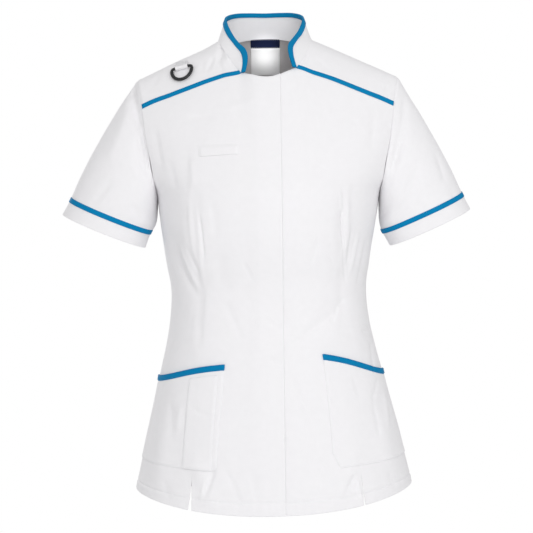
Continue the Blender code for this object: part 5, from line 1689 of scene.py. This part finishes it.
# %% The neck label
label_grids = {}
LABEL_HALF = 0.0228  # half its width
LABEL_CLEAR = 0.0005  # between the label and the cloth behind it
LABEL = (("neck_label_band", 0.0135, 0.0), ("neck_label", -0.0004, -0.0400))  # name, top, bottom
neck_top, neck_middle = back_panel.down[-1], back_panel.over[-1] / 2
# the cloth behind the label is looked up 80 mm down from the neck, and a quarter further out
under_neck = np.linspace(neck_top - 0.08, neck_top, 120)
PROBE = 0.01
near = back_panel.weave(np.full(2, neck_top - 2 * PROBE), neck_middle + np.array((-PROBE, PROBE)), False)[0]
stretch = np.linalg.norm(near[1] - near[0]) / (2 * PROBE)
ways = np.linspace(-1.25, 1.25, 31) * LABEL_HALF / stretch
outer, inner = skins(back_panel.weave(under_neck, neck_middle + ways), "b")
for name, top, bottom in LABEL:
    layers = []
    heights = np.linspace(bottom, top, 5 if top > 0 else 19)
    for clear in (LABEL_CLEAR, LABEL_CLEAR + TRIM):
        face = inner + unit(inner - outer) * clear
        grid = np.empty((len(heights), len(ways), 3))
        for k in range(len(ways)):
            for d in range(3):
                grid[:, k, d] = np.interp(heights, face[:, k, 2], face[:, k, d])
        # the columns draw together lower down, while the label keeps its width
        across = grid[0 if top > 0 else -1, :, 0].mean() + np.linspace(-1, 1, 25) * LABEL_HALF
        even = [[np.interp(across, line[:, 0], line[:, d]) for d in range(3)] for line in grid]
        layers.append(np.array(even).transpose(0, 2, 1))
    label_grids[name] = layers
    quads = grid_quads(len(heights), len(across))[:, ::-1]
    close_shell(name, layers[1], layers[0], quads, grid_of(heights, across))
print("label", round(2000 * LABEL_HALF, 1), "mm wide")

# %% [markdown]
# Sewing. Each row of stitches is a line on the cloth that knows the way out of it at every
# point. Geometry Nodes walks along the lines and sets down one stitch after another, each a
# slim rounded thread, so that the rows keep an even pitch wherever they run.

# %% Rows of stitches
THREAD_LIFT = -0.00045  # how far the middle of a thread lies over the cloth
STITCH = 0.0030  # from one stitch to the next
STITCH_LONG = 0.0022  # how long each one is
THREAD = 0.0005  # and how wide
GUIDE = 0.004  # from one point that guides a row to the next
seams = {"white": [], "blue": []}


def sew(colour, panel, group, *lines, above=0.0):
    """Rows of stitches on a panel, each through corners told as rows and columns; above is the
    height of what lies on the panel there."""
    for line in lines:
        corners = np.stack(np.broadcast_arrays(*line), axis=1).astype(float)
        places = [corners[:1]]
        for start, end in zip(corners, corners[1:]):
            steps = max(2, round(math.hypot(*(end - start)) / GUIDE) + 1)
            places.append(start + np.linspace(0, 1, steps)[1:, None] * (end - start))
        points, normals = panel.weave(*np.concatenate(places).T, False)[:2]
        rise = relief(points, normals, group) + above + THREAD_LIFT
        seams[colour].append((settle(points + normals * rise[:, None]), normals))


print("stitches", STITCH_LONG * 1000, "mm long, one every", STITCH * 1000, "mm")

# %% [markdown]
# Rows run along hems, openings, seams and facings on both sides, each a few millimetres from its
# edge, as a machine's foot keeps them.

# %% Sew both sides
# how far the stitches keep from an opening, from a seam and from the edge of a patch
OPENING, SEAM, EDGE = 0.004, 0.003, 0.002
LEAST = 0.001  # the least that they keep from an edge
VENT_SIDE = 0.006  # from a vent to the stitches beside it
PIPING_STITCH = 0.0031  # from the middle of a cuff's piping
MOUTH_STITCH = (0.0012, 0.0008)  # from the lower and the upper edge of a pocket's piping
# A vent's facing: how far inward of the vent its line lies at the hem and at the top, where the
# line across the top ends, and how far over the vent that is. A pocket's facing: its corners, up
# from the pocket's top and outward from its inner edge; one more lies at the side.
FACING, FACING_INNER, FACING_TOP = (0.011, 0.010), 0.036, 0.012
MOUTH_FACING = ((0.001, 0.031, 0.036, 0.052), (0.001, 0.001, 0.030))
# how much higher than its own thickness each holds the thread; the welt's edges are pressed down
ON_CUFF, ON_PATCH, ON_MOUTH, ON_WELT = 0.0004, 0.0005, 0.0012, -0.0011
for side in (-1, 1):
    panel, yoke, tube = front_panels[side], yoke_panels[side], tubes[side]
    vent, vent_top, end = panel.over[VENT_COLUMN], panel.down[VENT_ROW], panel.over[-1]
    beside_vent = (OPENING, vent_top + EDGE)
    sew(
        "white", panel, "b",
        (HEM, (OPENING, vent - VENT_SIDE)),
        (HEM, (vent + VENT_SIDE, end - EDGE)),
        ((OPENING, panel.down[-1] - SEAM), OPENING),
        (beside_vent, (vent - VENT_SIDE, vent - OPENING)),
        (beside_vent, (vent + VENT_SIDE, vent + OPENING)),
        ((panel.down[BELOW] + OPENING, panel.down[-1] - OPENING), end - SEAM),
    )
    yoke_top, yoke_end = yoke.down[-1], yoke.over[-1]
    sew(
        "white", yoke, "b",
        ((OPENING, yoke_top - EDGE), yoke_end - SEAM),
        (yoke_top - SEAM, (SEAM, yoke_end - SEAM)),
    )
    for step in (-PIPING_STITCH, PIPING_STITCH):
        line = (tube.down[CUFF_ROW] + step, (0.0, tube.over[-1]))
        sew("blue", tube, "s", line, above=TRIM + PIPING_GAP + ON_CUFF)
    sew("white", tube, "s", (tube.down[-1] - SEAM, (0.0, tube.over[-1])))
    bottom, mouth, top = near_and_far(panel.down, POCKET_ROWS)
    inner = panel.over[POCKET_COLUMN]
    # facings inside the vent and above the pocket's mouth show as lines
    facing_top = vent_top + FACING_TOP
    rises, insets = MOUTH_FACING
    sew(
        "white", panel, "b",
        ((OPENING, facing_top, facing_top), [vent - way for way in (*FACING, FACING_INNER)]),
        ([top + rise for rise in rises], [inner + inset for inset in insets] + [end - EDGE]),
    )
    corner = POCKET_CORNER[side]
    rows = (mouth - LEAST, bottom + corner, bottom + EDGE, bottom + EDGE)
    columns = (inner + EDGE, inner + EDGE, inner + corner * CORNER_SLOPE + EDGE, end - SEAM)
    sew("white", panel, "b", (rows, columns), above=SEAM_GAP + CLOTH + ON_PATCH)
    for row in (mouth + MOUTH_STITCH[0], top - MOUTH_STITCH[1]):
        line = (row, (inner + LEAST, end - EDGE))
        sew("blue", panel, "b", line, above=SEAM_GAP + CLOTH + TRIM + ON_MOUTH)
print("rows of stitches so far", {colour: len(rows) for colour, rows in seams.items()})

# %% [markdown]
# The last rows have one place each: the hem of the back, the collar, the pen pocket, the welt,
# the label and the ring's loop.

# %% Sew the rest
PEN_EDGE, WELT_EDGE = 0.0015, 0.0012  # from the edges of the pen pocket and of the welt
PEN_HEM = 0.005  # between the two rows at the pen pocket's top
COLLAR_SEAM = 0.0025  # from the neck seam
LABEL_EDGE = 0.3  # from the label's edge, as a share of its net's step
TAB_ROWS = (0.0020, 0.0044)  # from the end of the loop's tail
TAB_REACH = 0.85  # how far towards the loop's edges its rows go
sew("white", back_panel, "b", (HEM, (EDGE, back_panel.over[-1] - EDGE)))
sew("white", collar, "c", (COLLAR_SEAM, (EDGE, collar.over[-1] - EDGE)))
panel = front_panels[-1]
near, far = pen_sides[0] + PEN_EDGE, pen_sides[1] - PEN_EDGE
low, high = pen_rows[0] + PEN_EDGE, pen_rows[1] - PEN_EDGE
sew(
    "white", panel, "b",
    ((high, low, low, high), (near, near, far, far)),
    (high, (near, far)),
    (high - PEN_HEM, (near, far)),
    above=2 * SEAM_GAP + CLOTH + TRIM + ON_PATCH,
)
welt_lines = []
for way, low, high in zip((welt_sides[0] + WELT_EDGE, welt_sides[1] - WELT_EDGE), *WELT_DROPS):
    welt_lines.append(((welt_rows[0] - low, welt_rows[1] - high - LEAST), way))
welt_lines.append(([welt_rows[1] - WELT_EDGE - high for high in WELT_DROPS[1]], welt_sides))
sew("white", panel, "b", *welt_lines, above=SEAM_GAP + TRIM + ON_WELT)
for name, row in (("neck_label_band", -1), ("neck_label_band", 0), ("neck_label", -1)):
    back_side, face_side = label_grids[name]
    out = unit(face_side[row] - back_side[row])
    step = (face_side[row - 1 if row else 1] - face_side[row]) * LABEL_EDGE
    seams["white"].append((face_side[row] + step + out * THREAD_LIFT * 0.2, out))
for inset in TAB_ROWS:
    on_tab = bar_middle - down_yoke * (TAB_TAIL - inset) + off_yoke * (outside - TAB_THIN)
    across_tab = np.linspace(-TAB_REACH, TAB_REACH, 9)[:, None] * TAB_HALF
    seams["white"].append((on_tab + along * across_tab, np.tile(off_yoke, (9, 1))))
print("rows of stitches", {colour: len(rows) for colour, rows in seams.items()})

# %% [markdown]
# The node group takes the lines in, cuts them to an even pitch, turns one small ball after another
# along the line and flat on the cloth, and gives them their material.

# %% A node group that sews
def add(tree, kind, links=(), **settings):
    """Adds a node; links are (its input, a node, that node's output), settings its values."""
    node = tree.nodes.new(kind)
    for name, value in settings.items():
        if hasattr(node, name):
            setattr(node, name, value)
        else:
            node.inputs[name.replace("_", " ")].default_value = value
    for socket, source, output in links:
        tree.links.new(source.outputs[output], node.inputs[socket])
    return node


def stitch_tree():
    """The node group that sets stitches along lines."""
    tree = bpy.data.node_groups.new("rows_of_stitches", "GeometryNodeTree")
    face = tree.interface
    face.new_socket("Lines", in_out="INPUT", socket_type="NodeSocketGeometry")
    for name in ("Pitch", "Length", "Width"):
        face.new_socket(name, in_out="INPUT", socket_type="NodeSocketFloat")
    face.new_socket("Thread", in_out="INPUT", socket_type="NodeSocketMaterial")
    face.new_socket("Stitches", in_out="OUTPUT", socket_type="NodeSocketGeometry")
    start = add(tree, "NodeGroupInput")
    curve = add(tree, "GeometryNodeMeshToCurve", [("Mesh", start, "Lines")])
    pitch = [("Curve", curve, 0), ("Length", start, "Pitch")]
    even = add(tree, "GeometryNodeResampleCurve", pitch, mode="LENGTH")
    along = add(tree, "GeometryNodeInputTangent")
    out = add(tree, "GeometryNodeInputNamedAttribute", data_type="FLOAT_VECTOR", Name="out")
    first = add(tree, "FunctionNodeAlignRotationToVector", [("Vector", along, 0)], axis="X")
    turned = [("Rotation", first, 0), ("Vector", out, 0)]
    second = add(tree, "FunctionNodeAlignRotationToVector", turned, axis="Z", pivot_axis="X")
    ball = add(tree, "GeometryNodeMeshUVSphere", Segments=6, Rings=4, Radius=0.5)
    # the ball's poles lie across the thread, so that its ends stay round
    sizes = [("X", start, "Length"), ("Y", start, "Width"), ("Z", start, "Width")]
    size = add(tree, "ShaderNodeCombineXYZ", sizes)
    thread = add(tree, "GeometryNodeTransform", [("Geometry", ball, 0), ("Scale", size, 0)])
    placing = [("Points", even, 0), ("Instance", thread, 0), ("Rotation", second, 0)]
    placed = add(tree, "GeometryNodeInstanceOnPoints", placing)
    real = add(tree, "GeometryNodeRealizeInstances", [("Geometry", placed, 0)])
    coating = [("Geometry", real, 0), ("Material", start, "Thread")]
    coated = add(tree, "GeometryNodeSetMaterial", coating)
    add(tree, "NodeGroupOutput", [("Stitches", coated, 0)])
    return tree


SEWING = stitch_tree()
print("nodes that sew:", len(SEWING.nodes))

# %% [markdown]
# A modifier runs the node group over a mesh of bare edges. What comes out is kept as a plain mesh,
# so that it stays the same wherever the tunic is exported.

# %% Run the node group
def set_stitches(name, rows, material, tree):
    """Runs the node group over rows of stitches and keeps the result as a plain mesh."""
    outs = np.concatenate([n for p, n in rows]).astype(np.float32)
    edges, first = [], 0
    for points, _ in rows:
        edges += [(first + k, first + k + 1) for k in range(len(points) - 1)]
        first += len(points)
    mesh = bpy.data.meshes.new(name + "_lines")
    mesh.from_pydata(np.concatenate([p for p, n in rows]).tolist(), edges, [])
    mesh.attributes.new("out", "FLOAT_VECTOR", "POINT").data.foreach_set("vector", outs.reshape(-1))
    lines = show(name + "_lines", mesh)
    modifier = lines.modifiers.new("stitches", "NODES")
    modifier.node_group = tree
    inputs = [item for item in tree.interface.items_tree if item.in_out == "INPUT"]
    sockets = {item.name: item.identifier for item in inputs}
    values = {"Pitch": STITCH, "Length": STITCH_LONG, "Width": THREAD, "Thread": material}
    for socket, value in values.items():
        modifier[sockets[socket]] = value
    found = bpy.data.meshes.new_from_object(lines.evaluated_get(bpy.context.evaluated_depsgraph_get()))
    bpy.data.objects.remove(lines)
    found.name = name
    return show(name, found)


print("guide points every", GUIDE * 1000, "mm")

# %% [markdown]
# Materials are made of nodes too, and added by the same function. The cloths are woven: two sets
# of threads cross as bands, which only raise the surface, and a noise makes their colour uneven.

# %% Materials
def srgb(code):
    """A linear colour from a hex code as it is seen on the screen."""
    parts = [int(code[k : k + 2], 16) / 255 for k in (1, 3, 5)]
    return tuple(c / 12.92 if c <= 0.04045 else ((c + 0.055) / 1.055) ** 2.4 for c in parts) + (1.0,)


def new_material(name):
    material = bpy.data.materials.new(name)
    material.use_nodes = True
    material.node_tree.nodes.clear()
    return material, material.node_tree


def wavering(tree, noise, colour, shade):
    """A colour that goes over into another where a noise says so."""
    tone = add(tree, "ShaderNodeMix", [(0, noise, "Fac")], data_type="RGBA")
    tone.inputs[6].default_value = srgb(colour)
    tone.inputs[7].default_value = srgb(shade)
    return tone


def coat(tree, links, **settings):
    """The shader that a material ends in."""
    shader = add(tree, "ShaderNodeBsdfPrincipled", links, **settings)
    add(tree, "ShaderNodeOutputMaterial", [("Surface", shader, 0)])


BAND_SCALE = math.pi / 10  # a wave node's scale of 1 gives one band in this much of a unit


def woven(name, colour, shade, pitch, bump, roughness, sheen, turns=(0, 90), gloss=0.3):
    """Woven cloth: two sets of threads in relief, with slightly uneven colour."""
    material, tree = new_material(name)
    uv = add(tree, "ShaderNodeUVMap", uv_map="flat")
    bands = []
    scale = BAND_SCALE / pitch / 2
    for turn in turns:
        turned = add(tree, "ShaderNodeMapping", [("Vector", uv, 0)], Rotation=(0, 0, math.radians(turn)))
        place = [("Vector", turned, 0)]
        bands.append(add(tree, "ShaderNodeTexWave", place, Scale=scale, Distortion=0.6, Detail=1.0))
    threads = add(tree, "ShaderNodeMath", [(0, bands[0], "Fac"), (1, bands[1], "Fac")], operation="MAXIMUM")
    uneven = add(tree, "ShaderNodeTexNoise", [("Vector", uv, 0)], Scale=90.0, Detail=3.0)
    height = add(tree, "ShaderNodeMath", [(0, threads, 0), (1, uneven, "Fac")], operation="ADD")
    raised = add(tree, "ShaderNodeBump", [("Height", height, 0)], Strength=bump, Distance=pitch * 0.3)
    links = [("Base Color", wavering(tree, uneven, colour, shade), 2), ("Normal", raised, 0)]
    coat(tree, links, Roughness=roughness, Sheen_Weight=sheen, Sheen_Roughness=0.5, Specular_IOR_Level=gloss)
    return material


print("a band every", round(BAND_SCALE, 3), "of a unit at scale 1")

# %% [markdown]
# Each cloth is one line: its colour and the shade it goes over into, how far apart its threads
# lie and how deep, then how rough it is and how much fuzz it has. The plastic has its own nodes.

# %% The palette
# fine white cotton: almost even, dull, with a little fuzz that lightens its edges
POPLIN = woven("white_poplin", "#F1F0F2", "#EDECEE", 0.0006, 0.25, 0.8, 0.15)
# its inside faces, where the neck lies in shadow: the same white cloth with painted shade, greyer, and
# duller still
POPLIN_PAINTED_SHADE = woven("white_poplin_wrong_side", "#CFCCCC", "#CAC7C7", 0.0006, 0.25, 0.9, 0.0)
# the trim: a clear mid blue with a fine slanting rib and hardly any shine
TRIM_BLUE = woven("blue_satin_trim", "#0081B6", "#007AAC", 0.0005, 0.3, 0.65, 0.0, (45, 45), 0.08)
# the label: bright smooth satin under a band so dark that it reads as black in the shade
LABEL_WHITE = woven("label_satin_white", "#FBFBFB", "#F8F8F8", 0.0005, 0.2, 0.4, 0.0)
LABEL_NAVY = woven("label_satin_navy", "#0C1C46", "#0A183E", 0.0005, 0.2, 0.4, 0.0)
# sewing thread: smoother than the cloth it lies in, in the same two colours
THREAD_WHITE = woven("white_thread", "#F3F3F5", "#ECECEF", 0.0004, 0.2, 0.6, 0.2)
THREAD_BLUE = woven("blue_thread", "#0A7FB2", "#0772A4", 0.0004, 0.2, 0.5, 0.1)
# the ring: near black, with the soft broken shine of plastic from a slightly rough mould
PLASTIC, tree = new_material("black_moulded_plastic")
grain = add(tree, "ShaderNodeTexCoord")
speckle = add(tree, "ShaderNodeTexNoise", [("Vector", grain, "Object")], Scale=1500.0, Detail=2.0)
raised = add(tree, "ShaderNodeBump", [("Height", speckle, "Fac")], Strength=0.15, Distance=0.0002)
shine = add(tree, "ShaderNodeMapRange", [("Value", speckle, "Fac")], To_Min=0.28, To_Max=0.42)
coat(tree, [("Normal", raised, 0), ("Roughness", shine, 0)], Base_Color=srgb("#17181A"))


def finish_of(name):
    """The material and the record's slot of a piece, from its name."""
    if name == "ring":
        return PLASTIC, "ring_plastic"
    if "piping" in name or "binding" in name:
        return TRIM_BLUE, "blue_trim"
    if name == "neck_label_band":
        return LABEL_NAVY, "label_band"
    if name == "neck_label":
        return LABEL_WHITE, "label_cloth"
    return POPLIN, "white_cloth"


print("materials", len(bpy.data.materials))

# %% [markdown]
# Each piece is set on the body it rides on, and the solid that it stands in for is hidden. The solids take
# the same materials, and the stitches are pieces of their own.

# %% Dress the packed tunic
for colour, thread, slot in (("white", THREAD_WHITE, "white_cloth"), ("blue", THREAD_BLUE, "blue_trim")):
    piece = set_stitches("stitches_" + colour, seams[colour], thread, SEWING)
    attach(piece, CLOTH_BODY)
    print(piece.name, len(piece.data.polygons), "faces")

for name, piece in made.items():
    material, slot = finish_of(name)
    piece.name = name + "_shell"
    piece.data.materials.append(material)
    if name == "back":
        # the inside of the back, seen in the neck, takes the painted shade: the second half of the shell's
        # faces
        piece.data.materials.append(POPLIN_PAINTED_SHADE)
        count = inner_faces[name]
        numbers = np.zeros(len(piece.data.polygons), np.int32)
        numbers[count : 2 * count] = 1
        piece.data.polygons.foreach_set("material_index", numbers)
    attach(piece, RING_BODY if name == "ring" else CLOTH_BODY)
    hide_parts(name)
for name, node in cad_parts.items():
    node.data.materials.clear()
    node.data.materials.append(finish_of(name)[0])
print("pieces", len(made), "and the stitches")

# %% [markdown]

# %% [markdown]
# The camera stands 2.4 m in front, as the photo was taken, with a long lens and a slight roll.

# %% Camera
DISTANCE = 2.4
PHOTO_PIXELS, PIXEL = 533, 0.00156  # the photo's width, and a pixel's width at the side seams
HALF_FRAME = PHOTO_PIXELS / 2 * PIXEL
camera_data = bpy.data.cameras.new("camera")
camera_data.sensor_width = 36.0
camera_data.lens = camera_data.sensor_width / 2 / (HALF_FRAME / DISTANCE)
camera = show("camera", camera_data)
roll = math.radians(0.7)
camera.matrix_world = (
    Matrix.Translation((-0.0073, -DISTANCE, -0.350))
    @ Matrix.Rotation(math.radians(90), 4, "X")
    @ Matrix.Rotation(-roll, 4, "Z")
)
bpy.context.scene.camera = camera
print("lens", round(camera_data.lens, 1), "mm")

# %% [markdown]
# A bright room and three wide lamps in front give the even, faintly shadowed studio light. One lamp
# behind lights the back, and a narrow beam reaches the label inside the neck.

# %% Room, lamps and floor
ROOM_LIGHT = 0.64
world = bpy.data.worlds.new("studio")
world.use_nodes = True
sky = world.node_tree.nodes["Background"]
sky.inputs["Color"].default_value = (1, 1, 1, 1)
# the paper backdrop itself is burnt out to white, while less light than that falls on the cloth
seen = add(world.node_tree, "ShaderNodeLightPath")
level = add(
    world.node_tree, "ShaderNodeMapRange", [("Value", seen, "Is Camera Ray")],
    To_Min=ROOM_LIGHT, To_Max=1.0,
)
world.node_tree.links.new(level.outputs[0], sky.inputs["Strength"])
bpy.context.scene.world = world
bpy.context.scene.view_settings.view_transform = "Standard"


def lamp(name, kind, place, aim, power, **settings):
    """A lamp at a place, turned to where it aims."""
    data = bpy.data.lights.new(name, kind)
    data.energy = power
    for setting, value in settings.items():
        setattr(data, setting, value)
    thing = show(name, data)
    thing.location = place
    thing.rotation_euler = Vector(np.array(aim, float) - place).to_track_quat("-Z", "Y").to_euler()


WAIST = (0, 0, -0.3)
lamp("key", "AREA", (1.2, -2.5, 0.3), WAIST, 13, size=0.9)
lamp("front", "AREA", (0.1, -2.6, 0.15), WAIST, 14, size=0.8)
lamp("fill", "AREA", (-1.4, -2.3, 0.0), WAIST, 2, size=1.6)
lamp("back", "AREA", (-1.5, 2.2, 0.4), WAIST, 14, size=0.8)
label_top = label_grids["neck_label"][1][-4].mean(axis=0)
narrow = {"spot_size": math.radians(1.3), "spot_blend": 1.0, "shadow_soft_size": 0.012}
lamp("beam", "SPOT", (0.0, -2.4, -0.1), label_top, 200, **narrow)

FLOOR_Z, FLOOR_HALF = -1.15, 1.6
corners = [(x * FLOOR_HALF, y * FLOOR_HALF, FLOOR_Z) for x, y in ((-1, -1), (1, -1), (1, 1), (-1, 1))]
floor_mesh = bpy.data.meshes.new("floor")
floor_mesh.from_pydata(corners, [], [(0, 1, 2, 3)])
floor = show("floor", floor_mesh)
floor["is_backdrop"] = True
# a matt pale floor, so evenly toned that it only catches a soft shadow
ground, tree = new_material("pale_studio_floor")
coordinates = add(tree, "ShaderNodeTexCoord")
mottle = add(tree, "ShaderNodeTexNoise", [("Vector", coordinates, "Object")], Scale=6.0)
coat(tree, [("Base Color", wavering(tree, mottle, "#F0F0F0", "#E9E9EA"), 2)], Roughness=0.9)
floor_mesh.materials.append(ground)
print("lamps", len(bpy.data.lights))

# %% [markdown]
# The size of the dressed tunic and the counts of its faces are printed at the end.

# %% Sizes, and the end
low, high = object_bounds()
sizes_of = sorted(((2 * len(piece.data.polygons), name) for name, piece in made.items()), reverse=True)
print("triangles", sizes_of[:6])
total = sum(len(piece.data.polygons) for piece in made.values())
print("size", [round(h - l, 4) for l, h in zip(low, high)], "quads", total)
